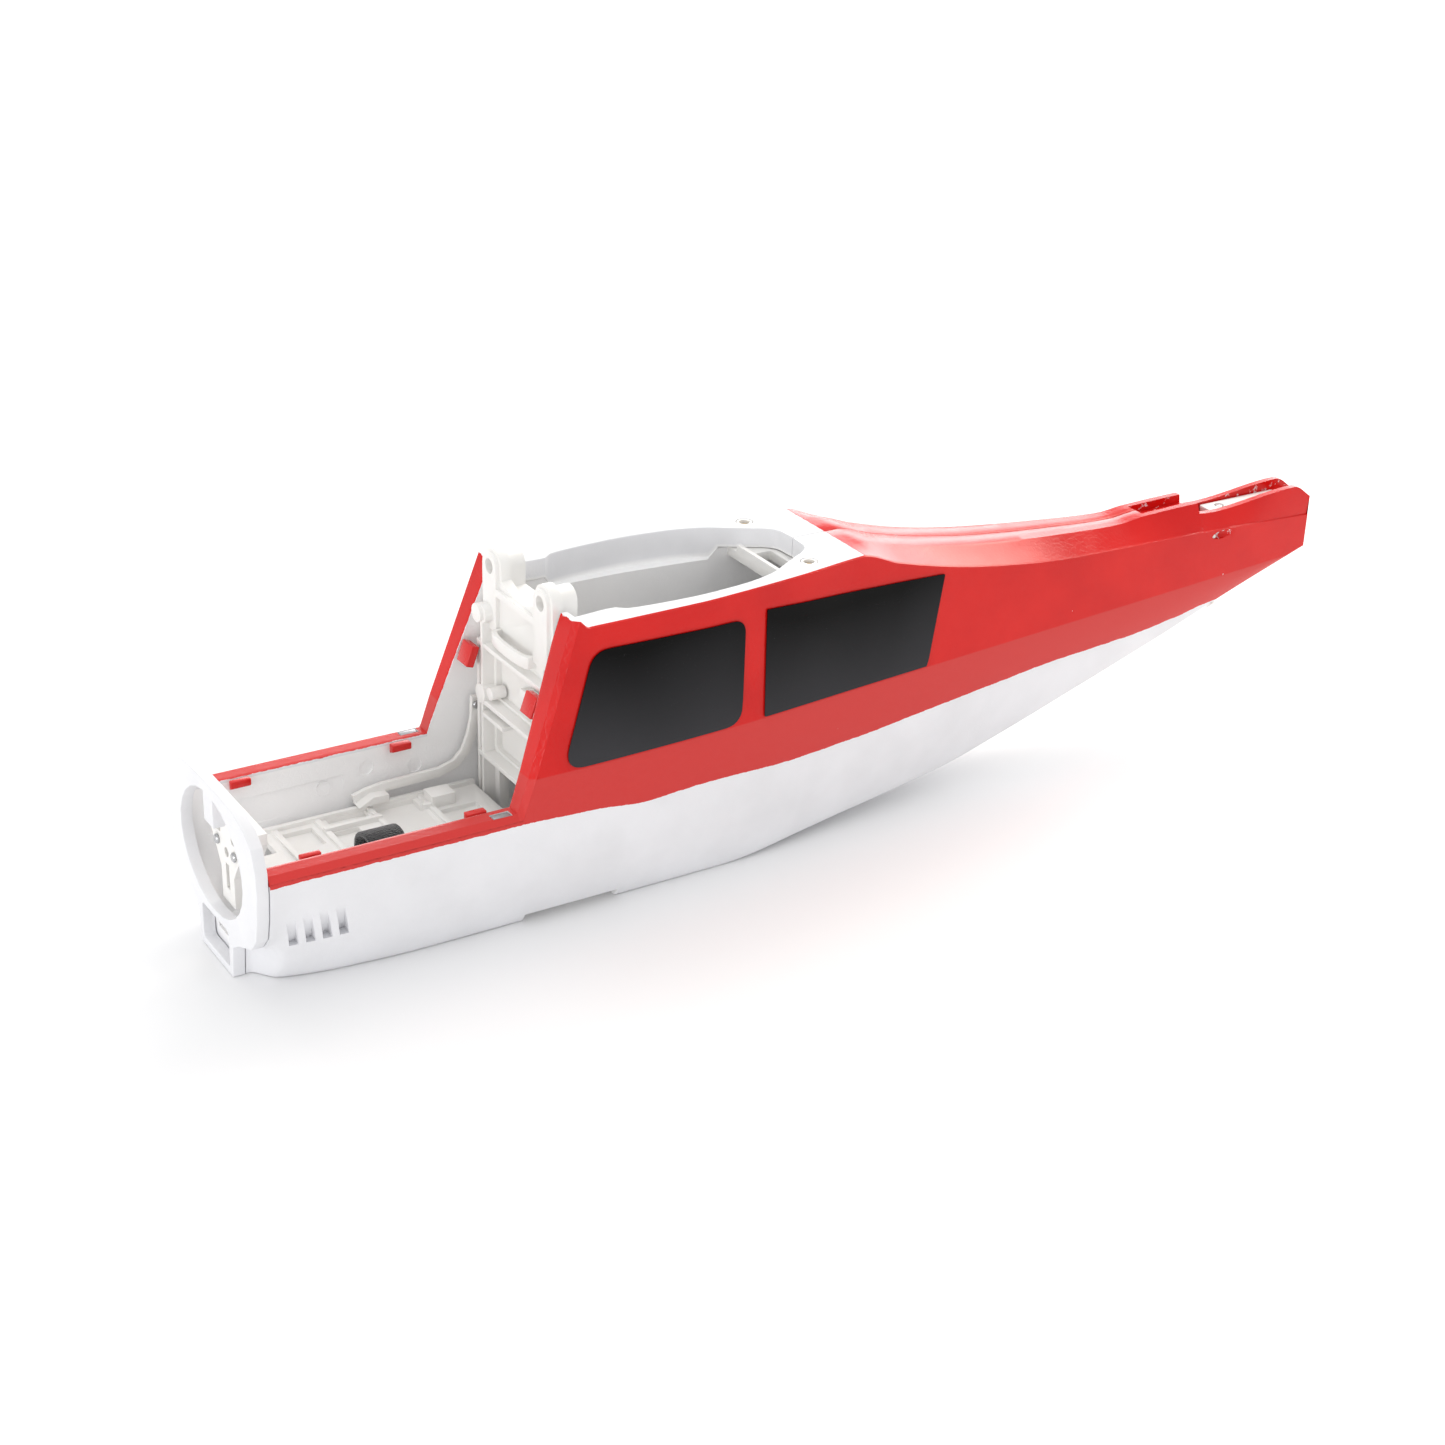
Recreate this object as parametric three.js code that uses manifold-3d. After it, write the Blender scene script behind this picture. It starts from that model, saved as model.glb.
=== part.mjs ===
// Bare foam fuselage of a small high-wing radio-control trainer aeroplane.
// Millimetres, +Z up, +X towards the tail, +Y to starboard, belly flat on z = 0.
// All stations below are counted aft from the nose face; the last lines move the
// finished group so that the origin lies under the middle of the model.

import * as THREE from 'three';
import { mergeVertices } from 'three/addons/utils/BufferGeometryUtils.js';
import Module from 'manifold-3d';

const wasm = await Module();
wasm.setup();

// ---- driving dimensions ----------------------------------------------------

const LENGTH = 451.5;
const GAP = 0.3; // clearance left between touching pieces
const SEAM = 0.15; // half of the gap between the two glued halves
const WALL = 8; // foam thickness of the rails and cabin sides
const FLOOR = 6.5; // foam thickness of the belly
const RING_DEPTH = 4.1; // nose ring, front to back
const RAIL_TOP = 46.1; // hatch rails
const RAIL_INNER = 29.5; // half-width between the rails
const RAIL_OUTER = 37.2;
const SILL_EDGE = 1.8; // chamfer on the outer edge of rails and pillars
const CREASE_Z = 57.5; // crease under the windows
const SADDLE_TOP = 104.4; // wing seat
const LEDGE_Z = 93; // step round the inside of the wing opening
const PILLAR_FOOT = 89; // where the windscreen pillars leave the rails
const PILLAR_HEAD = 110.3;
const PILLAR_TOP = 107;
const PILLAR_OUTER = 33.7; // half-width over the pillar heads
const TRAY_TOP = 26.3;
const BULKHEAD_X = 108; // front face of the cabin bulkhead
const LUG_SPACING = 35; // wing dowel holes, centre to centre
const LUG_HEIGHT = 108;
const WING_SCREW_X = 206.8;
const WING_SCREW_SPACING = 40.4;
const GEAR_NOTCH = { front: 95.5, back: 130.5, depth: 3.4 };
const SCREW_SIDES = 10;
const SCREW_CLEAR = 0.05; // a screw head stands this far off its seat

// ---- materials -------------------------------------------------------------

function finish(color, roughness, metalness = 0) {
  return new THREE.MeshStandardMaterial({ color, roughness, metalness });
}

const foamWhite = finish(0xf1f1f3, 0.75);
const foamRed = finish(0xc81f22, 0.35);
const nylon = finish(0xe6e3de, 0.5);
const decalBlack = finish(0x0b0b0c, 0.2);
const strapBlack = finish(0x161616, 0.95);
const steel = finish(0xb8bbbf, 0.35, 1);
const brass = finish(0xc8a24a, 0.35, 1);
const magnetNickel = finish(0x9a9da1, 0.4, 1);
const tubeNatural = finish(0xf0efe8, 0.4);
const fibreBlack = finish(0x1a1a1c, 0.45);

const aircraft = new THREE.Group();

function add(name, geometry, material) {
  const mesh = new THREE.Mesh(geometry, material);
  mesh.name = name;
  aircraft.add(mesh);
  return mesh;
}

// ---- solid helpers ---------------------------------------------------------

function solid(geometry) {
  const bare = geometry.clone();
  bare.deleteAttribute('normal');
  bare.deleteAttribute('uv');
  const merged = mergeVertices(bare, 1e-4);
  const vertProperties = new Float32Array(merged.attributes.position.array);
  const triVerts = new Uint32Array(merged.index.array);
  return new wasm.Manifold(new wasm.Mesh({ numProp: 3, vertProperties, triVerts }));
}

function geometryOf(manifold) {
  const mesh = manifold.getMesh();
  const geometry = new THREE.BufferGeometry();
  geometry.setAttribute('position', new THREE.BufferAttribute(mesh.vertProperties, 3));
  geometry.setIndex(new THREE.BufferAttribute(mesh.triVerts, 1));
  return geometry;
}

function cut(base, ...tools) {
  return geometryOf(tools.reduce((body, tool) => body.subtract(solid(tool)), solid(base)));
}

function join(base, ...others) {
  return geometryOf(others.reduce((body, other) => body.add(solid(other)), solid(base)));
}

function common(base, other) {
  return geometryOf(solid(base).intersect(solid(other)));
}

function mirrored(geometry) {
  const flipped = geometry.clone().applyMatrix4(new THREE.Matrix4().makeScale(1, -1, 1));
  if (!flipped.index) {
    flipped.setIndex([...Array(flipped.attributes.position.count).keys()]);
  }
  const index = flipped.index;
  for (let i = 0; i < index.count; i += 3) {
    const kept = index.getX(i);
    index.setX(i, index.getX(i + 1));
    index.setX(i + 1, kept);
  }
  flipped.deleteAttribute('normal');
  return flipped;
}

function box([x0, x1], [y0, y1], [z0, z1]) {
  const geometry = new THREE.BoxGeometry(x1 - x0, y1 - y0, z1 - z0);
  return geometry.translate((x0 + x1) / 2, (y0 + y1) / 2, (z0 + z1) / 2);
}

function rod(from, to, radius, sides = 16) {
  const start = new THREE.Vector3(...from);
  const end = new THREE.Vector3(...to);
  const axis = end.clone().sub(start);
  const geometry = new THREE.CylinderGeometry(radius, radius, axis.length(), sides);
  const turn = new THREE.Quaternion().setFromUnitVectors(
    new THREE.Vector3(0, 1, 0), axis.clone().normalize());
  return geometry.applyQuaternion(turn).translate(...start.add(end).multiplyScalar(0.5).toArray());
}

function outline(points) {
  return new THREE.Shape(points.map(([a, b]) => new THREE.Vector2(a, b)));
}

// A shape drawn in (x, z), given thickness along Y.
function sidePrism(shape, y0, y1) {
  const geometry = new THREE.ExtrudeGeometry(shape, { depth: y1 - y0, bevelEnabled: false });
  return geometry.rotateX(Math.PI / 2).translate(0, y1, 0);
}

// A shape drawn in (y, z), given thickness along X.
function crossPlate(shape, x0, x1, curveSegments = 8) {
  const geometry = new THREE.ExtrudeGeometry(shape, {
    depth: x1 - x0, bevelEnabled: false, curveSegments });
  const place = new THREE.Matrix4().makeBasis(
    new THREE.Vector3(0, 1, 0), new THREE.Vector3(0, 0, 1), new THREE.Vector3(1, 0, 0));
  return geometry.applyMatrix4(place).translate(x0, 0, 0);
}

// A shape drawn in (x, y), given thickness along Z.
function floorPlate(shape, z0, z1) {
  const geometry = new THREE.ExtrudeGeometry(shape, {
    depth: z1 - z0, bevelEnabled: false, curveSegments: 4 });
  return geometry.translate(0, 0, z0);
}

function roundedRect(a0, a1, b0, b1, radius) {
  const shape = new THREE.Shape();
  shape.moveTo(a0 + radius, b0);
  shape.lineTo(a1 - radius, b0);
  shape.absarc(a1 - radius, b0 + radius, radius, -Math.PI / 2, 0);
  shape.lineTo(a1, b1 - radius);
  shape.absarc(a1 - radius, b1 - radius, radius, 0, Math.PI / 2);
  shape.lineTo(a0 + radius, b1);
  shape.absarc(a0 + radius, b1 - radius, radius, Math.PI / 2, Math.PI);
  shape.lineTo(a0, b0 + radius);
  shape.absarc(a0 + radius, b0 + radius, radius, Math.PI, 1.5 * Math.PI);
  return shape;
}

// A closed skin through rings of equal length, capped flat at both ends.
function loft(rings) {
  const count = rings[0].length;
  const positions = rings.flat(2);
  const index = [];
  for (let r = 0; r < rings.length - 1; r += 1) {
    for (let i = 0; i < count; i += 1) {
      const a = r * count + i;
      const b = r * count + ((i + 1) % count);
      index.push(a, b, a + count, b, b + count, a + count);
    }
  }
  const flat = rings[0].map(([, y, z]) => new THREE.Vector2(y, z));
  const last = (rings.length - 1) * count;
  const flatLast = rings.at(-1).map(([, y, z]) => new THREE.Vector2(y, z));
  THREE.ShapeUtils.triangulateShape(flat, []).forEach(([a, b, c]) => index.push(a, c, b));
  THREE.ShapeUtils.triangulateShape(flatLast, []).forEach(([a, b, c]) => {
    index.push(last + a, last + b, last + c);
  });
  const geometry = new THREE.BufferGeometry();
  geometry.setAttribute('position', new THREE.Float32BufferAttribute(positions, 3));
  geometry.setIndex(index);
  return geometry;
}

// ---- hull form -------------------------------------------------------------

// A smooth line through stations [x, value] that never overshoots them.
function line(stations) {
  const slopes = stations.map(([x, value], i) => {
    if (i === 0 || i === stations.length - 1) return 0;
    const before = (value - stations[i - 1][1]) / (x - stations[i - 1][0]);
    const after = (stations[i + 1][1] - value) / (stations[i + 1][0] - x);
    return before * after > 0 ? (2 * before * after) / (before + after) : 0;
  });
  return (x) => {
    const next = stations.findIndex(([station]) => station >= x);
    if (next === 0) return stations[0][1];
    if (next < 0) return stations.at(-1)[1];
    const [x0, v0] = stations[next - 1];
    const [x1, v1] = stations[next];
    const span = x1 - x0;
    const t = (x - x0) / span;
    const rise = v1 - v0;
    const bend0 = slopes[next - 1] * span - rise;
    const bend1 = rise - slopes[next] * span;
    return v0 + rise * t + t * (1 - t) * (bend0 * (1 - t) + bend1 * t);
  };
}

const keelZ = line([[4, 0], [170, 0], [206, 2.8], [240, 5.6], [270, 8.8], [300, 15.4], [337, 25.4],
  [375, 36.6], [412, 48.4], [LENGTH, 59.4]]);
const bellyHalf = line([[4, 13.2], [9, 18.5], [18, 22], [34, 24.6], [60, 26.2], [176, 25.6], [230, 20],
  [270, 16.2], [330, 12.4], [400, 9.4], [LENGTH, 6.4]]);
const creaseHalf = line([[4, 37.4], [110, 37.2], [140, 36.4], [172, 34.6], [225, 29.3], [300, 21.8],
  [381, 13.7], [LENGTH, 6.5]]);
const deckHalf = line([[4, 34], [116, 33.9], [156, 33.6], [172, 32.4], [197, 29.6], [225, 25.2],
  [300, 19.1], [376, 12.7], [LENGTH, 6.45]]);
const deckZ = line([[4, PILLAR_TOP], [112, PILLAR_TOP], [115.5, SADDLE_TOP], [225, SADDLE_TOP],
  [242, 98.4], [270, 90.9], [289, 87.2], [318, 83], [348, 80.7], [378, 78.8], [412, 76.1],
  [LENGTH, 72.8]]);
const crownHalf = line([[4, 24], [212, 16], [231, 12.4], [265, 9.2], [300, 8.8], [343, 7.2],
  [366, 6.4], [LENGTH, 6.3]]);
const crownZ = line([[4, PILLAR_TOP], [112, PILLAR_TOP], [115.5, SADDLE_TOP], [212, SADDLE_TOP],
  [231, 107.6], [246, 100.6], [265, 95.6], [295, 90.8], [325, 87.9], [356, 86], [366, 87],
  [392.8, 87.5], [393.4, 83.2], [402.5, 82.4], [442.6, 85.4], [LENGTH, 80.2]]);

const STATIONS = [RING_DEPTH + GAP, 7, 10, 16, 24, 40, 70, 95, 112, 115.5, 140, 156, 172, 186, 200,
  212, 219, 225, 231, 238, 246, 255, 265, 280, 300, 320, 338, 356, 366, 379, 392.8, 393.4, 402.5,
  415, 428, 442.6, LENGTH];

// Heights, as a fraction from keel to crease, at which the curved lower side is drawn.
const SIDE_STEPS = [0, 0.05, 0.13, 0.24, 0.38, 0.56, 0.76];

// The nose face is narrower low down: a chin under the full-width front frame.
const CHIN = [[13.2, 0], [14.3, 11.3], [19.5, 14.6], [30, 18.8], [34.5, 24], [36.3, 31.5], [37.3, 40.5]];
const CHIN_END = 12;

function creaseZ(x) {
  return Math.max(CREASE_Z, keelZ(x) + 0.8);
}

// Starboard points of the curved lower side, from the belly edge up to just under the crease.
function lowerSide(x) {
  const { lerp, smoothstep } = THREE.MathUtils;
  const fullness = lerp(3, 1.9, smoothstep(x, 130, 210));
  const chinShare = 1 - smoothstep(x, RING_DEPTH, CHIN_END);
  return SIDE_STEPS.map((t, i) => {
    const width = lerp(bellyHalf(x), creaseHalf(x), 1 - (1 - t) ** fullness);
    const height = lerp(keelZ(x), creaseZ(x), t);
    return [lerp(width, CHIN[i][0], chinShare), lerp(height, CHIN[i][1], chinShare)];
  });
}

// Starboard half of the outside, keel to crown, pushed out by "grow".
function outerSection(x, grow = 0) {
  return [
    [SEAM, keelZ(x) - grow],
    ...lowerSide(x).map(([y, z], i) => [y + grow, i === 0 ? z - grow : z]),
    [creaseHalf(x) + grow, creaseZ(x)],
    [deckHalf(x) + grow, deckZ(x)],
    [crownHalf(x), crownZ(x) + grow],
    [SEAM, crownZ(x) + grow],
  ].map(([y, z]) => [x, y, z]);
}

// The hollow inside that half, drawn a little past the seam.
function innerSection(x) {
  const { lerp, smoothstep } = THREE.MathUtils;
  const thin = 1 - 0.4 * smoothstep(x, 215, 380);
  const low = keelZ(x) + FLOOR * thin;
  const top = crownZ(Math.min(x, 352)) - 7 * thin;
  const side = lowerSide(x).map(([y], i) => {
    const t = SIDE_STEPS[i];
    return [y - lerp(5, WALL, t) * thin, lerp(low, creaseZ(x), t)];
  });
  return [
    [-1, low],
    ...side,
    [creaseHalf(x) - WALL * thin, creaseZ(x)],
    [deckHalf(x) - (WALL + 1.5) * thin, Math.min(deckZ(x) - 3 * thin, top - 1)],
    [crownHalf(x) * 0.5, top],
    [-1, top],
  ].map(([y, z]) => [x, y, z]);
}

const HOLLOW_END = 398;

function stationsBetween(first, last) {
  return [first, ...STATIONS.filter((x) => x > first + 0.5 && x < last - 0.5), last];
}

function hullHalf(grow = 0, first = STATIONS[0], last = LENGTH) {
  return loft(stationsBetween(first, last).map((x) => outerSection(x, grow)));
}

function hollowHalf() {
  return loft(stationsBetween(0, HOLLOW_END).map(innerSection));
}

// ---- fuselage halves -------------------------------------------------------

const PILLAR_LEAN = new THREE.Vector3(PILLAR_HEAD - PILLAR_FOOT, 0, PILLAR_TOP - RAIL_TOP).normalize();
const PILLAR_FACE = new THREE.Vector3(-PILLAR_LEAN.z, 0, PILLAR_LEAN.x);

// Wedge that bevels the outer edge of a sill running between two points.
function sillBevel(from, to, faceNormal) {
  const out = new THREE.Vector3(0, 1, 0);
  const corners = [
    out.clone().multiplyScalar(-SILL_EDGE),
    faceNormal.clone().multiplyScalar(-SILL_EDGE),
    out.clone().add(faceNormal).multiplyScalar(SILL_EDGE + 1),
  ];
  return loft([from, to].map((end) => corners.map((corner) => corner.clone().add(end).toArray())));
}

const LOUVRE = { slope: 0.19, low: 17.8, high: 30, wide: 3.1 };

// One slanted cooling louvre, deepest at its lower end.
function louvre(x) {
  const { slope, low, high, wide } = LOUVRE;
  const wedge = crossPlate(outline([[28.6, low], [46, low], [46, high], [35.8, high]]), x, x + wide);
  const shear = new THREE.Matrix4().set(1, 0, -slope, slope * low, 0, 1, 0, 0, 0, 0, 1, 0, 0, 0, 0, 1);
  return wedge.applyMatrix4(shear);
}

const LOUVRES = [0, 1, 2, 3].map((i) => 11.8 + 5.45 * i);
const GEAR_SCREWS = [[105.3, 13], [125, 13]];
const MAGNET = { x: 83.8, y: 33.9, long: 6.2, wide: 2.6, deep: 2.4 };
const WING_PLATE = { front: 200, back: 216, half: 23.5, under: 93.6, top: 97 };
const ROD_EXIT = { from: [366, 2.6, 73.2], to: [413, 12.6, 74.8], radius: 1.6 };

const TAIL_SEAT_SCREWS = [410, 433];
const TAIL_WHEEL_SCREWS = [401.5, 414.5];
const KEEL_RISE = Math.atan2(keelZ(417) - keelZ(399), 18);

// The point at "depth" above the keel line, square to it, at station x.
function alongKeel(x, depth) {
  return [x - Math.sin(KEEL_RISE) * depth, 0, keelZ(x) + Math.cos(KEEL_RISE) * depth];
}

function fuselageHalf() {
  const windscreen = outline([[-5, RAIL_TOP], [PILLAR_FOOT, RAIL_TOP], [PILLAR_HEAD, PILLAR_TOP],
    [PILLAR_HEAD, 125], [-5, 125]]);
  const wingOpening = outline([[95, -1], [95, 24.4], [112, 24.2], [129.5, 23], [134.5, 26],
    [158, 27.4], [176, 26.1], [190, 22.8], [199, 17.8], [205, 14.3], [211, 10.5], [213.5, 7],
    [213.5, -1]]);
  const tailSlot = outline([[368, 84.2], [394, 84.2], [398, 79.2], [446, 79.2], [446, 95], [368, 95]]);
  const railEdge = [new THREE.Vector3(-2, RAIL_OUTER, RAIL_TOP),
    new THREE.Vector3(PILLAR_FOOT + 0.4, RAIL_OUTER, RAIL_TOP)];
  const pillarEdge = [
    new THREE.Vector3(PILLAR_FOOT, RAIL_OUTER, RAIL_TOP).addScaledVector(PILLAR_LEAN, -0.5),
    new THREE.Vector3(PILLAR_HEAD, PILLAR_OUTER, PILLAR_TOP).addScaledVector(PILLAR_LEAN, 4)];
  const magnetPocket = box([MAGNET.x - MAGNET.long / 2 - GAP, MAGNET.x + MAGNET.long / 2 + GAP],
    [MAGNET.y - MAGNET.wide / 2 - GAP, MAGNET.y + MAGNET.wide / 2 + GAP],
    [RAIL_TOP - MAGNET.deep - GAP, RAIL_TOP + 1]);
  const platePocket = box([WING_PLATE.front - GAP, WING_PLATE.back + GAP], [-1, WING_PLATE.half + GAP],
    [WING_PLATE.under - GAP, WING_PLATE.top + GAP]);
  const screwBore = rod([WING_SCREW_X, WING_SCREW_SPACING / 2, 96],
    [WING_SCREW_X, WING_SCREW_SPACING / 2, 110], 3.15);
  const gearBores = GEAR_SCREWS.map(([x, y]) => rod([x, y, -1], [x, y, 12], 1.3, SCREW_SIDES));
  const tailBores = [
    ...TAIL_SEAT_SCREWS.map((x) => rod([x, 0, 69], [x, 0, 90], 1.1, SCREW_SIDES)),
    ...TAIL_WHEEL_SCREWS.map((x) => rod(alongKeel(x, -3), alongKeel(x, 8), 1.1, SCREW_SIDES)),
  ];
  return cut(hullHalf(),
    hollowHalf(),
    sidePrism(windscreen, -1, 60),
    floorPlate(wingOpening, LEDGE_Z, 125),
    sillBevel(...railEdge, new THREE.Vector3(0, 0, 1)),
    sillBevel(...pillarEdge, PILLAR_FACE),
    ...LOUVRES.map(louvre),
    box([GEAR_NOTCH.front, GEAR_NOTCH.back], [-1, 60], [-1, GEAR_NOTCH.depth]),
    ...gearBores,
    magnetPocket,
    platePocket,
    screwBore,
    sidePrism(tailSlot, -1, 4),
    ...tailBores,
    rod(ROD_EXIT.from, ROD_EXIT.to, ROD_EXIT.radius, 12));
}

const starboardHalf = fuselageHalf();
add('fuselage_half_starboard', starboardHalf, foamWhite);
add('fuselage_half_port', mirrored(starboardHalf), foamWhite);

// ---- nose ------------------------------------------------------------------

const RING_HALF = [[13.1, 0], [14.3, 11.3], [19.5, 14.6], [30, 18.8], [34.5, 24], [36.2, 31.5],
  [37.1, 40.5], [36.8, 48], [34.1, 55.5], [29.3, 59.3], [20.3, 61.9], [8, 62.6]];

function symmetric(half) {
  return outline([...half, ...half.map(([y, z]) => [-y, z]).reverse()]);
}

const NOSE_OPENING = { halfWide: 25.6, halfTall: 20.5, centreZ: 38.4, tabHalf: 3.8, tabEnd: 48.5 };

// The broad opening of the nose, split at the top by a short tab.
function noseOpening() {
  const { halfWide, halfTall, centreZ, tabHalf, tabEnd } = NOSE_OPENING;
  const points = [[-tabHalf, tabEnd], [tabHalf, tabEnd]];
  const reach = Math.asin(tabHalf / halfWide);
  for (let i = 0; i <= 24; i += 1) {
    const angle = THREE.MathUtils.lerp(reach, 2 * Math.PI - reach, i / 24);
    points.push([halfWide * Math.sin(angle), centreZ + halfTall * Math.cos(angle)]);
  }
  return new THREE.Path(points.map(([y, z]) => new THREE.Vector2(y, z)));
}

function noseRing() {
  const face = symmetric(RING_HALF);
  face.holes.push(noseOpening(), roundedRect(-11, 11, 2.6, 15.4, 1.5));
  return crossPlate(face, 0, RING_DEPTH, 3);
}

add('nose_ring', noseRing(), foamWhite);

const MOUNT = { front: 5.2, back: 13, duct: [19.6, 29] };
const TRAY = { front: 26, back: 103.5, half: 25.2, thick: 2.3 };
const MOTOR_SCREWS = [[-7, 38.8], [7, 38.8]];

// Waisted block with a cable slot in each arm, on a low duct that runs back to the battery tray.
function motorMount() {
  const plate = symmetric([[5.2, 19], [5.2, 30], [8.4, 35], [12.5, 40.6], [15.2, 45], [15.2, 49]]);
  plate.holes.push(roundedRect(4.3, 11.9, 42.2, 45.4, 0.8), roundedRect(-11.9, -4.3, 42.2, 45.4, 0.8));
  const [low, high] = MOUNT.duct;
  const duct = roundedRect(-7.5, 7.5, low, high, 2);
  duct.holes.push(roundedRect(-5.5, 5.5, low + 2, high - 2, 1));
  const body = join(crossPlate(plate, MOUNT.front, MOUNT.back, 3),
    crossPlate(duct, MOUNT.back - 0.5, TRAY.front - GAP, 3));
  return cut(body,
    box([MOUNT.front - 1, MOUNT.back + 1], [-1.3, 1.3], [24, 33]),
    rod([MOUNT.front - 1, 0, 37.2], [MOUNT.back + 1, 0, 37.2], 1.7, 12),
    ...MOTOR_SCREWS.map(([y, z]) => rod([0, y, z], [MOUNT.back + 1, y, z], 0.9, SCREW_SIDES)));
}

add('motor_mount', motorMount(), nylon);

// A pan-head screw with its head seated at "seat", pointing along "direction".
function screw(seat, direction, headRadius, headHeight, shankRadius, shankLength) {
  const profile = [[0, -headHeight], [headRadius * 0.7, -headHeight], [headRadius, -headHeight * 0.5],
    [headRadius, 0], [shankRadius, 0], [shankRadius, shankLength], [0, shankLength]];
  const geometry = new THREE.LatheGeometry(profile.map(([r, h]) => new THREE.Vector2(r, h)), SCREW_SIDES);
  const turn = new THREE.Quaternion().setFromUnitVectors(
    new THREE.Vector3(0, 1, 0), new THREE.Vector3(...direction).normalize());
  return geometry.applyQuaternion(turn).translate(...seat);
}

MOTOR_SCREWS.forEach(([y, z], i) => {
  const seat = [MOUNT.front - SCREW_CLEAR, y, z];
  add(`motor_mount_screw_${i + 1}`, screw(seat, [1, 0, 0], 1.7, 1, 0.6, 6), steel);
});

// ---- battery bay -----------------------------------------------------------

const STRAP = { front: 46.5, back: 59, inner: 3.6, outer: 20.4, thick: 1.5 };
const POCKET_DEPTH = 1.6;
const POCKETS = [
  [32, 42.5, 9, 21], [48.5, 62.5, 17, 23.5], [65, 80, 14.5, 23.5], [47, 56, 5, 14],
  [84, 98, 3, 12], [32, 42.5, -21, -9], [64, 80, -21, -9], [84, 98, -21, -9],
];

function batteryTray() {
  const under = TRAY_TOP - TRAY.thick;
  const plate = box([TRAY.front, TRAY.back], [-TRAY.half, TRAY.half], [under, TRAY_TOP]);
  const lips = [-1, 1].map((side) => box([TRAY.front, TRAY.back],
    side > 0 ? [TRAY.half - 1.6, TRAY.half] : [-TRAY.half, 1.6 - TRAY.half], [under, TRAY_TOP + 1.6]));
  const crossRibs = [29.5, 44.6, 63.5, 82].map((x) => box([x, x + 2], [-TRAY.half, TRAY.half],
    [TRAY_TOP - 1, TRAY_TOP + 0.9]));
  const legs = [[36, 5], [36, -5], [70, 3], [70, -3], [98, 15], [98, -15]].map(([x, y]) => (
    box([x, x + 3], [y - 1.5, y + 1.5], [FLOOR + GAP, under + 0.5])));
  const stop = box([83, 91.5], [14, 21], [TRAY_TOP - 1, TRAY_TOP + 4.2]);
  const rail = box([44.6, 84], [14.6, 16.4], [TRAY_TOP - 1, TRAY_TOP + 1.8]);
  const body = join(plate, ...lips, ...crossRibs, ...legs, stop, rail);
  const pocketTools = POCKETS.map(([x0, x1, y0, y1]) => (
    box([x0, x1], [y0, y1], [TRAY_TOP - POCKET_DEPTH, TRAY_TOP + 6])));
  const strapSlots = [-STRAP.outer, -STRAP.inner].map((y, i) => {
    const near = i === 0 ? [y - GAP, y + STRAP.thick + GAP] : [y - STRAP.thick - GAP, y + GAP];
    return box([STRAP.front - 0.8, STRAP.back + 0.8], near, [under - 1, TRAY_TOP + 3]);
  });
  return cut(body, ...pocketTools, ...strapSlots);
}

add('battery_tray', batteryTray(), nylon);

// Hook-and-loop strap: one closed loop through the two slots, arched above the tray.
function batteryStrap() {
  const middle = -(STRAP.outer + STRAP.inner) / 2;
  const halfSpan = (STRAP.outer - STRAP.inner) / 2;
  const low = TRAY_TOP - TRAY.thick - GAP - STRAP.thick;
  const archBase = TRAY_TOP + 4.5;
  const archRise = 7.6;
  const loop = (inset) => {
    const points = [];
    for (let i = 0; i <= 10; i += 1) {
      const angle = (Math.PI * i) / 10;
      points.push([middle + (halfSpan - inset) * Math.cos(angle),
        archBase + (archRise - inset) * Math.sin(angle)]);
    }
    points.push([middle - halfSpan + inset, low + inset], [middle + halfSpan - inset, low + inset]);
    return points;
  };
  const band = outline(loop(0));
  band.holes.push(new THREE.Path(loop(STRAP.thick).map(([y, z]) => new THREE.Vector2(y, z))));
  return crossPlate(band, STRAP.front, STRAP.back);
}

add('battery_strap', batteryStrap(), strapBlack);

// Moulded guide that leads the motor and servo cables along the starboard wall.
function ribbon(points, width) {
  const offset = (sign) => points.map(([x, z], i) => {
    const [x0, z0] = points[Math.max(i - 1, 0)];
    const [x1, z1] = points[Math.min(i + 1, points.length - 1)];
    const run = Math.hypot(x1 - x0, z1 - z0);
    return [x - (sign * width * (z1 - z0)) / (2 * run), z + (sign * width * (x1 - x0)) / (2 * run)];
  });
  return outline([...offset(-1), ...offset(1).reverse()]);
}

const GUIDE_PATH = [[60, 29.8], [65, 31.2], [70, 31.9], [84, 32.2], [91.5, 32.4], [97.5, 34.2],
  [101.4, 38], [103.8, 44], [105.2, 50], [105.6, 58]];

function cableGuide() {
  const strip = sidePrism(ribbon(GUIDE_PATH, 3.2), 25.8, 27.4);
  const foot = sidePrism(outline([[60, 28.4], [71, 28.4], [71, 31], [65.5, 31.2]]), 22, 27.4);
  return cut(join(strip, foot), rod([105.5, 20, 55], [105.5, 30, 55], 0.9, SCREW_SIDES));
}

add('cable_guide', cableGuide(), nylon);
add('cable_guide_screw', screw([105.5, 25.5, 55], [0, 1, 0], 1.5, 0.9, 0.6, 1.7), steel);

// ---- cabin bulkhead with the two wing dowel lugs ---------------------------

const BULKHEAD = { front: BULKHEAD_X, back: BULKHEAD_X + 3.6 };
const LUG_POST = { half: 4.7, low: 86, front: BULKHEAD.front - 1.4, back: BULKHEAD.back + 6 };

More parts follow.
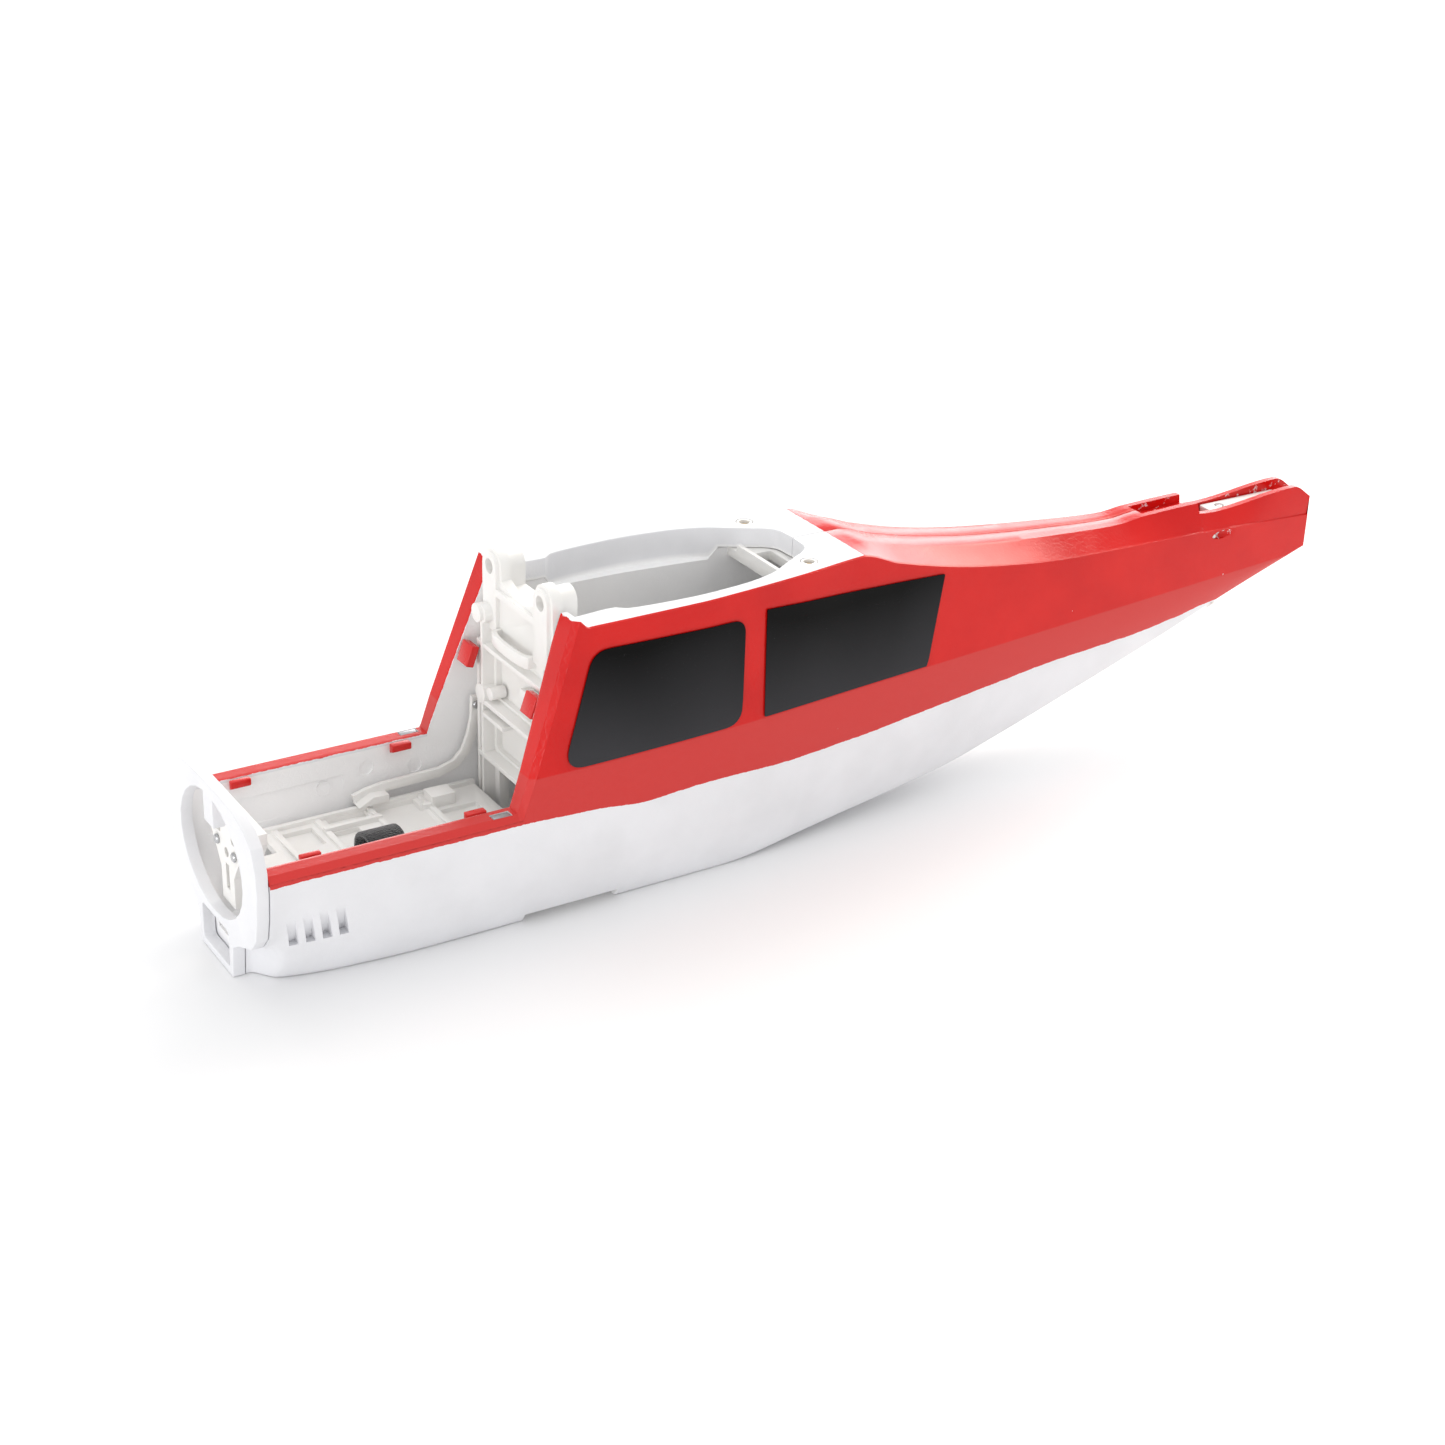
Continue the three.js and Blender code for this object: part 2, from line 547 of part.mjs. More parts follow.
function bulkheadOutline() {
  const lug = LUG_SPACING / 2;
  const radius = 6.1;
  const shape = new THREE.Shape();
  shape.moveTo(-19.2, 10.8);
  shape.lineTo(19.2, 10.8);
  shape.lineTo(25.6, 19);
  shape.lineTo(28.4, 36);
  shape.lineTo(28.4, 57);
  shape.lineTo(lug + radius, 102);
  shape.absarc(lug, LUG_HEIGHT, radius, 0, Math.PI);
  shape.lineTo(lug - radius, 104.6);
  shape.lineTo(4, 101.5);
  shape.lineTo(-4, 101.5);
  shape.lineTo(radius - lug, 104.6);
  shape.absarc(-lug, LUG_HEIGHT, radius, 0, Math.PI);
  shape.lineTo(-lug - radius, 102);
  shape.lineTo(-28.4, 57);
  shape.lineTo(-28.4, 36);
  shape.lineTo(-25.6, 19);
  shape.holes.push(roundedRect(-14, 14, 13, 37.5, 2));
  shape.holes.push(roundedRect(-19.4, -17.4, 82, 89, 0.6));
  return shape;
}

function cabinBulkhead() {
  const lug = LUG_SPACING / 2;
  const frame = crossPlate(bulkheadOutline(), BULKHEAD.front, BULKHEAD.back, 5);
  const ribs = [[39.4, 4.4], [59.4, 4.4], [79.4, 3.8]].map(([z, reach]) => (
    box([BULKHEAD.front - reach, BULKHEAD.front + 1], [-21, 21], [z, z + 1.6])));
  const flanges = [-22.6, 21].map((y) => (
    box([BULKHEAD.front - 3.6, BULKHEAD.front + 1], [y, y + 1.6], [24, 81])));
  const panels = [[42, 57.5], [62, 77.5]].map(([low, high]) => (
    crossPlate(roundedRect(-15.5, 15.5, low, high, 2), BULKHEAD.front - 1, BULKHEAD.front + 2, 3)));
  const { half, low, front, back } = LUG_POST;
  const posts = [-lug, lug].map((y) => {
    const post = new THREE.Shape();
    post.moveTo(y - half, low);
    post.lineTo(y + half, low);
    post.lineTo(y + half, LUG_HEIGHT);
    post.absarc(y, LUG_HEIGHT, half, 0, Math.PI);
    return crossPlate(post, front, back, 6);
  });
  const boss = rod([BULKHEAD.front - 4.2, 18, 91.5], [BULKHEAD.front + 1, 18, 91.5], 3.3, 14);
  const shelf = box([front, back], [half - lug - 0.5, lug - half + 0.5], [98.9, 101.4]);
  const bores = [-lug, lug].map((y) => (
    rod([front - 4, y, LUG_HEIGHT], [back + 4, y, LUG_HEIGHT], 2.6, 16)));
  return cut(join(cut(frame, ...panels), ...ribs, ...flanges, ...posts, boss, shelf), ...bores);
}

add('cabin_bulkhead', cabinBulkhead(), nylon);

// ---- cabin floor and wing screw plate --------------------------------------

const SERVO_TRAY = { front: 117, back: 174, half: 24, under: 40, top: 42 };

function servoTray() {
  const { front, back, half, under, top } = SERVO_TRAY;
  const plate = box([front, back], [-half, half], [under, top]);
  const walls = [-half, half - 1.6].map((y) => box([front, back], [y, y + 1.6], [under - 6, top]));
  const bays = [-1, 1].map((side) => box([128, 151.5],
    side > 0 ? [4, 16.4] : [-16.4, -4], [under - 1, top + 1]));
  const passage = box([158, 169], [-9, 9], [under - 1, top + 1]);
  return cut(join(plate, ...walls), ...bays, passage);
}

add('servo_tray', servoTray(), nylon);

const SCREW_Y = WING_SCREW_SPACING / 2;

function rearWingPlate() {
  const { front, back, half, under, top } = WING_PLATE;
  const shape = roundedRect(front, back, -half, half, 2);
  shape.holes.push(roundedRect(front + 4.5, front + 10.5, -9, 9, 1));
  const rim = box([front, front + 1.6], [-14, 14], [under, top + 2.2]);
  const bosses = [-SCREW_Y, SCREW_Y].map((y) => rod([WING_SCREW_X, y, top - 1],
    [WING_SCREW_X, y, SADDLE_TOP - 0.1], 2.85, 16));
  const bores = [-SCREW_Y, SCREW_Y].map((y) => rod([WING_SCREW_X, y, under - 1],
    [WING_SCREW_X, y, SADDLE_TOP + 1], 1.95, 14));
  return cut(join(floorPlate(shape, under, top), rim, ...bosses), ...bores);
}

add('rear_wing_plate', rearWingPlate(), nylon);

function threadedInsert(y) {
  const low = WING_PLATE.under + 0.4;
  const high = SADDLE_TOP - 1.2;
  const profile = [[1.15, low], [1.65, low], [1.65, high], [1.15, high], [1.15, low]];
  const ring = new THREE.LatheGeometry(profile.map(([r, z]) => new THREE.Vector2(r, z)), 14);
  return ring.rotateX(Math.PI / 2).translate(WING_SCREW_X, y, 0);
}

// ---- pieces that repeat on both sides --------------------------------------

const SIDES = [['port', -1], ['starboard', 1]];

function onSide(geometry, side) {
  return side > 0 ? geometry : mirrored(geometry);
}

function hatchMagnet() {
  return box([MAGNET.x - MAGNET.long / 2, MAGNET.x + MAGNET.long / 2],
    [MAGNET.y - MAGNET.wide / 2, MAGNET.y + MAGNET.wide / 2],
    [RAIL_TOP - MAGNET.deep, RAIL_TOP - 0.05]);
}

// A catch block on the inner face of a rail, beginning at station "x".
function railCatch(x, reach) {
  const block = outline([[RAIL_INNER - 0.6, RAIL_TOP], [RAIL_INNER - reach, RAIL_TOP],
    [RAIL_INNER - reach, RAIL_TOP - 2.4], [RAIL_INNER - 0.6, RAIL_TOP - 3.6]]);
  return crossPlate(block, x, x + 7);
}

function pillarCatch() {
  const lean = Math.atan2(PILLAR_LEAN.x, PILLAR_LEAN.z);
  const height = 76.5;
  const x = PILLAR_FOOT + ((height - RAIL_TOP) * PILLAR_LEAN.x) / PILLAR_LEAN.z;
  const block = box([0.1, 3], [18.8, 26], [-3.7, 3.7]);
  return block.applyMatrix4(new THREE.Matrix4().makeRotationY(lean)).translate(x, 0, height);
}

const FRONT_WINDOW = {
  corners: [[104.4, 58.2], [172.9, 58.2], [174.2, 95], [116.4, 96.4]],
  radius: [8, 7, 5, 6],
};
const REAR_WINDOW = {
  corners: [[182.4, 58.2], [254.6, 58.2], [262.6, 89.9], [182.9, 96.2]],
  radius: [0, 0, 0, 0],
};
const DECAL_THICK = 0.35;
const STIFFENER = { front: 120, back: 290, low: 51, high: 55, thick: 1, taper: 0.088, out: 37.4 };

// An outline whose corners are rounded by quadratic curves.
function roundedOutline({ corners, radius }) {
  const shape = new THREE.Shape();
  corners.forEach((corner, i) => {
    const here = new THREE.Vector2(...corner);
    const before = new THREE.Vector2(...corners.at(i - 1)).sub(here).normalize();
    const after = new THREE.Vector2(...corners[(i + 1) % corners.length]).sub(here).normalize();
    const start = here.clone().addScaledVector(before, radius[i]);
    const end = here.clone().addScaledVector(after, radius[i]);
    if (i === 0) shape.moveTo(start.x, start.y);
    else shape.lineTo(start.x, start.y);
    if (radius[i] > 0) shape.quadraticCurveTo(here.x, here.y, end.x, end.y);
  });
  return shape;
}

// Window decal: a thin skin that follows the cabin side.
function windowDecal(window) {
  const first = window.corners[0][0] - 3;
  const last = window.corners[2][0] + 3;
  const skin = cut(hullHalf(GAP + DECAL_THICK, first, last), hullHalf(GAP, first - 1, last + 1));
  const geometry = new THREE.ExtrudeGeometry(roundedOutline(window), {
    depth: 40, bevelEnabled: false, curveSegments: 5 });
  return common(skin, geometry.rotateX(Math.PI / 2).translate(0, 52, 0));
}

// A flat strip along the inside of the cabin and boom, turned to follow their taper.
function sideStiffener() {
  const { front, back, low, high, thick, taper, out } = STIFFENER;
  return box([front, back], [0, thick], [low, high]).rotateZ(-taper).translate(-4, out, 0);
}

const TUBE_ROUTE = [[176, 12, 45], [190, 12.5, 47], [240, 11.5, 54], [300, 7.4, 64], [342, 2.9, 71.6],
  [366, 2.6, 73.2], [383, 6.2, 73.8], [400, 9.8, 74.35]];

function pushrodTube() {
  const route = new THREE.CatmullRomCurve3(TUBE_ROUTE.map((point) => new THREE.Vector3(...point)));
  const section = new THREE.Shape();
  section.absarc(0, 0, 1.1, 0, 2 * Math.PI);
  return new THREE.ExtrudeGeometry(section, { steps: 40, curveSegments: 4, extrudePath: route });
}

SIDES.forEach(([name, side]) => {
  add(`wing_screw_insert_${name}`, threadedInsert(side * SCREW_Y), brass);
  add(`hatch_magnet_${name}`, onSide(hatchMagnet(), side), magnetNickel);
  add(`hatch_catch_front_${name}`, onSide(railCatch(18, 2.6), side), foamRed);
  add(`hatch_catch_rear_${name}`, onSide(railCatch(74.6, 3.4), side), foamRed);
  add(`windscreen_catch_${name}`, onSide(pillarCatch(), side), foamRed);
  add(`window_front_${name}`, onSide(windowDecal(FRONT_WINDOW), side), decalBlack);
  add(`window_rear_${name}`, onSide(windowDecal(REAR_WINDOW), side), decalBlack);
  add(`side_stiffener_${name}`, onSide(sideStiffener(), side), fibreBlack);
});
add('rudder_pushrod_tube', mirrored(pushrodTube()), tubeNatural);
add('elevator_pushrod_tube', pushrodTube(), tubeNatural);

// ---- landing gear seat -----------------------------------------------------

const GEAR = {
  front: GEAR_NOTCH.front + 1.5, back: GEAR_NOTCH.back - 1.5, half: 21, under: 0.6, screwSeat: 1.8,
};
const GEAR_BLOCK = { front: 102.4, back: 128, half: 17.5, thick: 3.3 };
const gearHoles = GEAR_SCREWS.flatMap(([x, y]) => [[x, y], [x, -y]]);

function gearCover() {
  const plate = floorPlate(roundedRect(GEAR.front, GEAR.back, -GEAR.half, GEAR.half, 2), GEAR.under,
    GEAR_NOTCH.depth - GAP);
  const wireGroove = rod([115, -30, 3.6], [115, 30, 3.6], 1.6, 12);
  const bores = gearHoles.map(([x, y]) => rod([x, y, 0], [x, y, 9], 1.2, SCREW_SIDES));
  const recesses = gearHoles.map(([x, y]) => rod([x, y, 0], [x, y, GEAR.screwSeat], 2.2, SCREW_SIDES));
  return cut(plate, wireGroove, ...bores, ...recesses);
}

function gearBlock() {
  const { front, back, half, thick } = GEAR_BLOCK;
  const under = FLOOR + GAP;
  const plate = floorPlate(roundedRect(front, back, -half, half, 2), under, under + thick);
  return cut(plate, ...gearHoles.map(([x, y]) => rod([x, y, 0], [x, y, 20], 1.2, SCREW_SIDES)));
}

add('landing_gear_cover', gearCover(), nylon);
add('landing_gear_block', gearBlock(), nylon);
gearHoles.forEach(([x, y], i) => {
  const seat = [x, y, GEAR.screwSeat - SCREW_CLEAR];
  add(`landing_gear_screw_${i + 1}`, screw(seat, [0, 0, 1], 1.9, 1, 0.8, 7.6), steel);
});

// ---- tail ------------------------------------------------------------------

const SEAT_PLATE = { front: 403, back: 440, half: 3.5, under: 79.5, top: 81.6, screwSeat: 80.4 };

function tailSeatPlate() {
  const { front, back, half, under, top, screwSeat } = SEAT_PLATE;
  const plate = floorPlate(roundedRect(front, back, -half, half, 1), under, top);
  const bores = TAIL_SEAT_SCREWS.map((x) => rod([x, 0, under - 1], [x, 0, top + 1], 1, SCREW_SIDES));
  const recesses = TAIL_SEAT_SCREWS.map((x) => rod([x, 0, screwSeat], [x, 0, top + 1], 2, SCREW_SIDES));
  return cut(plate, ...bores, ...recesses);
}

add('tail_seat_plate', tailSeatPlate(), nylon);
TAIL_SEAT_SCREWS.forEach((x, i) => {
  const seat = [x, 0, SEAT_PLATE.screwSeat + SCREW_CLEAR];
  add(`tail_seat_screw_${i + 1}`, screw(seat, [0, 0, -1], 1.7, 1, 0.7, 8), steel);
});

function tailWheelBracket() {
  const under = (x, depth) => [x, keelZ(x) - depth];
  const profile = outline([under(399, 0.45), under(399, 2), under(404.5, 2), under(406.5, 5.6),
    under(409.5, 5.6), under(411, 2), under(417, 2), under(417, 0.45)]);
  const bores = TAIL_WHEEL_SCREWS.map((x) => rod(alongKeel(x, -5), alongKeel(x, 2), 1, SCREW_SIDES));
  const axleZ = keelZ(408) - 3.9;
  const axleBore = rod([408, -6, axleZ], [408, 6, axleZ], 0.8, SCREW_SIDES);
  return cut(sidePrism(profile, -4.2, 4.2), ...bores, axleBore);
}

add('tail_wheel_bracket', tailWheelBracket(), nylon);
TAIL_WHEEL_SCREWS.forEach((x, i) => {
  const upward = [-Math.sin(KEEL_RISE), 0, Math.cos(KEEL_RISE)];
  add(`tail_wheel_screw_${i + 1}`, screw(alongKeel(x, -2.2), upward, 1.7, 1, 0.7, 8), steel);
});

// ---- placing ---------------------------------------------------------------

aircraft.position.x = -LENGTH / 2;

export default aircraft;
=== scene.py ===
"""Looks for the bare foam fuselage of a small high-wing radio-control trainer aeroplane."""

import math

import bmesh
import bpy
from mathutils import Matrix, Vector


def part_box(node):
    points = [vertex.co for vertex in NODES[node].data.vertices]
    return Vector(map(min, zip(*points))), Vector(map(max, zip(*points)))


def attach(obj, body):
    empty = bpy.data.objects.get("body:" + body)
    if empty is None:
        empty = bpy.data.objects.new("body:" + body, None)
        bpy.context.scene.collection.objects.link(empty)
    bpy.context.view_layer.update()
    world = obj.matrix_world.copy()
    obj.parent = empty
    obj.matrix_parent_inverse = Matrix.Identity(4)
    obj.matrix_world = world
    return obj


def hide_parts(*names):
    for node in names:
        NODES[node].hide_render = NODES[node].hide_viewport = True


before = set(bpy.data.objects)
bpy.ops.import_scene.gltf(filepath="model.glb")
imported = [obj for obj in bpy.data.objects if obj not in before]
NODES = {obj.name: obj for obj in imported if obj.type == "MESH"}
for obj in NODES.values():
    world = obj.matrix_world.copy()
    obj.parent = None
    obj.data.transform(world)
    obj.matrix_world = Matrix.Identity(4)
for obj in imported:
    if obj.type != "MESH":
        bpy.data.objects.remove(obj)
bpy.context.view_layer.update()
SIDES = {"port": -1, "starboard": 1}

# ---- driving dimensions: millimetres aft of the nose, out from the middle and up from the belly

MM = 0.001
NOSE_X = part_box("nose_ring")[0].x
LENGTH = 451.5
RING_DEPTH = 4.1
GAP = 0.3
SEAM = 0.15
WALL = 8.0
FLOOR = 6.5
RAIL_TOP = 46.1
SILL_EDGE = 1.8
CREASE_Z = 57.5
SEAT_X = 112.0
SADDLE_TOP = 104.4
LEDGE_Z = 93.0
RIDGE_X = 226.4
CHIN_END = 12.0
PILLAR_FOOT = 89.0
PILLAR_HEAD = 110.3
PILLAR_TOP = 107.0
OPENING_END = 213.5
HOLLOW_END = 398.0
PILLAR_SLOPE = (PILLAR_TOP - RAIL_TOP) / (PILLAR_HEAD - PILLAR_FOOT)
# A sudden change of the hull's section lies between two stations this far apart.
STEP = 0.02

# The paint layer holds how far a point lies inside the red; this value marks the inside of the hull.
BARE = -60.0


def place(x, y, z):
    """A point given in millimetres from the nose, in the frame's metres."""
    return Vector((NOSE_X + x * MM, y * MM, z * MM))


# ---- camera ----------------------------------------------------------------


def make_camera():
    """A camera on the port side, ahead of the nose, looking down on the fuselage."""
    data = bpy.data.cameras.new("camera")
    data.sensor_width = 36.0
    data.lens = 62.875
    data.clip_start = 0.01
    camera = bpy.data.objects.new("camera", data)
    right = Vector((0.84919816, -0.52716378, 0.03099721))
    down = Vector((-0.20743324, -0.38697931, -0.89845337))
    forward = Vector((0.48562736, 0.7565351, -0.43797341))
    turn = Matrix((right, -down, -forward)).transposed().to_4x4()
    camera.matrix_world = Matrix.Translation(place(-237.9, -663.0, 424.0)) @ turn
    bpy.context.scene.collection.objects.link(camera)
    bpy.context.scene.camera = camera


make_camera()

# ---- small tools -----------------------------------------------------------


def link(name, mesh):
    piece = bpy.data.objects.new(name, mesh)
    bpy.context.scene.collection.objects.link(piece)
    return piece


def apply_modifiers(piece):
    """Makes the piece's modifiers part of its mesh."""
    bpy.context.view_layer.update()
    evaluated = piece.evaluated_get(bpy.context.evaluated_depsgraph_get())
    mesh = bpy.data.meshes.new_from_object(evaluated)
    piece.modifiers.clear()
    piece.data = mesh


def shade(mesh, degrees):
    mesh.shade_smooth()
    mesh.set_sharp_from_angle(angle=math.radians(degrees))


def smoothstep(x, low, high):
    t = min(max((x - low) / (high - low), 0.0), 1.0)
    return t * t * (3 - 2 * t)


def lerp(a, b, t):
    return a + (b - a) * t


def line(*stations):
    """A smooth line through stations (x, value) that never overshoots them."""
    slopes = [0.0]
    for (xa, a), (xb, b), (xc, c) in zip(stations, stations[1:], stations[2:]):
        before = (b - a) / (xb - xa)
        after = (c - b) / (xc - xb)
        slopes.append(2 * before * after / (before + after) if before * after > 0 else 0.0)
    slopes.append((stations[-1][1] - stations[-2][1]) / (stations[-1][0] - stations[-2][0]))

    def at(x):
        if x <= stations[0][0]:
            return stations[0][1]
        if x >= stations[-1][0]:
            return stations[-1][1]
        i = next(k for k, s in enumerate(stations) if s[0] >= x)
        (x0, v0), (x1, v1) = stations[i - 1], stations[i]
        span = x1 - x0
        t = (x - x0) / span
        rise = v1 - v0
        bend0 = slopes[i - 1] * span - rise
        bend1 = rise - slopes[i] * span
        return v0 + rise * t + t * (1 - t) * (bend0 * (1 - t) + bend1 * t)

    return at


# ---- materials -------------------------------------------------------------


def new_material(name):
    material = bpy.data.materials.new(name)
    material.use_nodes = True
    return material, material.node_tree.nodes, material.node_tree.links


def math_node(nodes, links, operation, first, second):
    node = nodes.new("ShaderNodeMath")
    node.operation = operation
    for socket, value in zip(node.inputs, (first, second)):
        if isinstance(value, (int, float)):
            socket.default_value = value
        else:
            links.new(value, socket)
    return node.outputs[0]


def noise(nodes, links, scale, detail=3.0, roughness=0.5):
    """Noise over the object's own coordinates; scale is in cells per metre."""
    where = nodes.new("ShaderNodeTexCoord")
    node = nodes.new("ShaderNodeTexNoise")
    node.inputs["Scale"].default_value = scale
    node.inputs["Detail"].default_value = detail
    node.inputs["Roughness"].default_value = roughness
    links.new(where.outputs["Object"], node.inputs["Vector"])
    return node.outputs["Fac"]


def cells(nodes, links, scale, feature="F1"):
    where = nodes.new("ShaderNodeTexCoord")
    node = nodes.new("ShaderNodeTexVoronoi")
    node.feature = feature
    node.inputs["Scale"].default_value = scale
    links.new(where.outputs["Object"], node.inputs["Vector"])
    return node.outputs["Distance"]


def spread(nodes, links, value, low, high, out_low, out_high):
    node = nodes.new("ShaderNodeMapRange")
    node.inputs["From Min"].default_value = low
    node.inputs["From Max"].default_value = high
    node.inputs["To Min"].default_value = out_low
    node.inputs["To Max"].default_value = out_high
    links.new(value, node.inputs["Value"])
    return node.outputs["Result"]


def mix_colour(nodes, links, factor, first, second):
    node = nodes.new("ShaderNodeMix")
    node.data_type = "RGBA"
    links.new(factor, node.inputs["Factor"])
    for socket, value in ((node.inputs["A"], first), (node.inputs["B"], second)):
        if isinstance(value, tuple):
            socket.default_value = (*value, 1.0)
        else:
            links.new(value, socket)
    return node.outputs["Result"]


def bump(nodes, links, height, distance, strength, under=None):
    node = nodes.new("ShaderNodeBump")
    node.inputs["Distance"].default_value = distance
    node.inputs["Strength"].default_value = strength
    links.new(height, node.inputs["Height"])
    if under is not None:
        links.new(under, node.inputs["Normal"])
    return node.outputs["Normal"]


WHITE = (0.85, 0.852, 0.875)
WHITE_SHADE = (0.79, 0.792, 0.812)
# A brighter white for the inside of the hull: painted light.
WHITE_INSIDE_PAINTED_LIGHT = (0.955, 0.953, 0.955)
# The window film's painted reflection: lighter grey low down, near black at the top.
FILM_LOWER_REFLECTION = (0.042, 0.042, 0.046)
FILM_UPPER_DARK = (0.0006, 0.0006, 0.0006)
RED = (0.70, 0.011, 0.008)
RED_DEEP = (0.60, 0.006, 0.005)
# A paler red below the crease: painted reflection.
RED_REFLECTING_LOW = (0.63, 0.040, 0.036)


def height_share(nodes, links, low, high):
    """0 at a height of low millimetres, 1 at high."""
    where = nodes.new("ShaderNodeTexCoord")
    parts = nodes.new("ShaderNodeSeparateXYZ")
    links.new(where.outputs["Object"], parts.inputs["Vector"])
    return spread(nodes, links, parts.outputs["Z"], low * MM, high * MM, 0.0, 1.0)


def foam_material(name, painted):
    """White moulded bead foam; red lacquer covers it wherever the paint layer is above zero."""
    material, nodes, links = new_material(name)
    shader = nodes["Principled BSDF"]
    beads = cells(nodes, links, 430, "DISTANCE_TO_EDGE")
    groove = spread(nodes, links, beads, 0.0, 0.12, 0.0, 1.0)
    grain = noise(nodes, links, 900, 4.0, 0.6)
    cloud = noise(nodes, links, 38, 3.0)
    white = mix_colour(nodes, links, spread(nodes, links, cloud, 0.35, 0.7, 0.0, 1.0), WHITE, WHITE_SHADE)
    white_rough = spread(nodes, links, cloud, 0.3, 0.7, 0.42, 0.6)
    skin = bump(nodes, links, groove, 0.00006, 0.28)
    skin = bump(nodes, links, grain, 0.00005, 0.3, skin)
    links.new(skin, shader.inputs["Normal"])
    shader.inputs["Specular IOR Level"].default_value = 0.26
    if not painted:
        links.new(white, shader.inputs["Base Color"])
        links.new(white_rough, shader.inputs["Roughness"])
        shader.inputs["Subsurface Weight"].default_value = 0.12
        shader.inputs["Subsurface Radius"].default_value = (0.003, 0.003, 0.003)
        return material
    layer = nodes.new("ShaderNodeUVMap")
    layer.uv_map = "paint"
    parts = nodes.new("ShaderNodeSeparateXYZ")
    links.new(layer.outputs["UV"], parts.inputs["Vector"])
    rag = spread(nodes, links, noise(nodes, links, 260, 5.0, 0.7), 0.3, 0.7, -0.22, 0.22)
    depth = math_node(nodes, links, "ADD", parts.outputs["X"], rag)
    # The inside is painted a brighter white than the outside: painted light that lifts the shade inside
    # the hull.
    inside = spread(nodes, links, parts.outputs["X"], BARE + 10, BARE + 2, 0.0, 1.0)
    white = mix_colour(nodes, links, inside, white, WHITE_INSIDE_PAINTED_LIGHT)
    chips = spread(nodes, links, noise(nodes, links, 330, 2.0, 0.4), 0.80, 0.82, 0.0, 1.0)
    cover = spread(nodes, links, depth, -0.03, 0.03, 0.0, 1.0)
    cover = math_node(nodes, links, "MULTIPLY", cover, math_node(nodes, links, "SUBTRACT", 1.0, chips))
    red = mix_colour(nodes, links, spread(nodes, links, cloud, 0.3, 0.7, 0.0, 1.0), RED, RED_DEEP)
    # Painted reflection: the red is a little paler below the crease.
    coat = mix_colour(nodes, links, height_share(nodes, links, 57.2, 57.8), RED_REFLECTING_LOW, red)
    links.new(mix_colour(nodes, links, cover, white, coat), shader.inputs["Base Color"])
    red_rough = spread(nodes, links, noise(nodes, links, 120, 3.0), 0.3, 0.7, 0.17, 0.27)
    rough = nodes.new("ShaderNodeMix")
    rough.data_type = "FLOAT"
    links.new(cover, rough.inputs["Factor"])
    links.new(white_rough, rough.inputs["A"])
    links.new(red_rough, rough.inputs["B"])
    links.new(rough.outputs["Result"], shader.inputs["Roughness"])
    return material


def red_foam_material():
    material, nodes, links = new_material("red_foam")
    shader = nodes["Principled BSDF"]
    cloud = noise(nodes, links, 60, 3.0)
    links.new(mix_colour(nodes, links, cloud, RED, RED_DEEP), shader.inputs["Base Color"])
    links.new(spread(nodes, links, cloud, 0.3, 0.7, 0.2, 0.32), shader.inputs["Roughness"])
    links.new(bump(nodes, links, noise(nodes, links, 700, 3.0), 0.00006, 0.3), shader.inputs["Normal"])
    return material


def nylon_material():
    """Natural injection-moulded plastic: satin, faintly warm, with flow marks."""
    material, nodes, links = new_material("nylon")
    shader = nodes["Principled BSDF"]
    flow = noise(nodes, links, 55, 4.0)
    colour = mix_colour(nodes, links, flow, (0.89, 0.88, 0.86), (0.83, 0.82, 0.795))
    links.new(colour, shader.inputs["Base Color"])
    links.new(spread(nodes, links, flow, 0.3, 0.7, 0.32, 0.46), shader.inputs["Roughness"])
    links.new(bump(nodes, links, noise(nodes, links, 1500, 2.0), 0.00003, 0.25), shader.inputs["Normal"])
    shader.inputs["Subsurface Weight"].default_value = 0.2
    shader.inputs["Subsurface Radius"].default_value = (0.002, 0.002, 0.0018)
    return material


def film_material():
    """Glossy black self-adhesive film over bead foam, which telegraphs through."""
    material, nodes, links = new_material("black_film")
    shader = nodes["Principled BSDF"]
    dust = noise(nodes, links, 2600, 2.0)
    specks = spread(nodes, links, dust, 0.72, 0.78, 0.0, 1.0)
    # Painted reflection: lighter grey towards the lower edge, near black at the top, broken by soft
    # painted sheen patches.
    sheen_patches = spread(nodes, links, noise(nodes, links, 14, 1.0), 0.35, 0.65, 0.1, -0.14)
    reflection_fade = math_node(nodes, links, "ADD", height_share(nodes, links, 56, 100), sheen_patches)
    reflection_fade = spread(nodes, links, reflection_fade, 0.0, 0.85, 0.0, 1.0)
    film = mix_colour(nodes, links, reflection_fade, FILM_LOWER_REFLECTION, FILM_UPPER_DARK)
    links.new(mix_colour(nodes, links, specks, film, (0.05, 0.05, 0.055)), shader.inputs["Base Color"])
    shader.inputs["Specular IOR Level"].default_value = 0.09
    smear = noise(nodes, links, 45, 4.0)
    links.new(spread(nodes, links, smear, 0.3, 0.7, 0.13, 0.24), shader.inputs["Roughness"])
    beads = noise(nodes, links, 330, 2.0)
    links.new(bump(nodes, links, beads, 0.00008, 0.16), shader.inputs["Normal"])
    return material


def webbing_material():
    material, nodes, links = new_material("webbing")
    shader = nodes["Principled BSDF"]
    loops = cells(nodes, links, 1900)
    fuzz = noise(nodes, links, 3800, 4.0, 0.7)
    colour = mix_colour(nodes, links, fuzz, (0.006, 0.006, 0.007), (0.03, 0.03, 0.032))
    links.new(colour, shader.inputs["Base Color"])
    links.new(spread(nodes, links, fuzz, 0.3, 0.7, 0.85, 1.0), shader.inputs["Roughness"])
    rough = bump(nodes, links, loops, 0.0004, 0.9)
    links.new(bump(nodes, links, fuzz, 0.0003, 0.8, rough), shader.inputs["Normal"])
    shader.inputs["Sheen Weight"].default_value = 0.6
    shader.inputs["Sheen Roughness"].default_value = 0.4
    return material


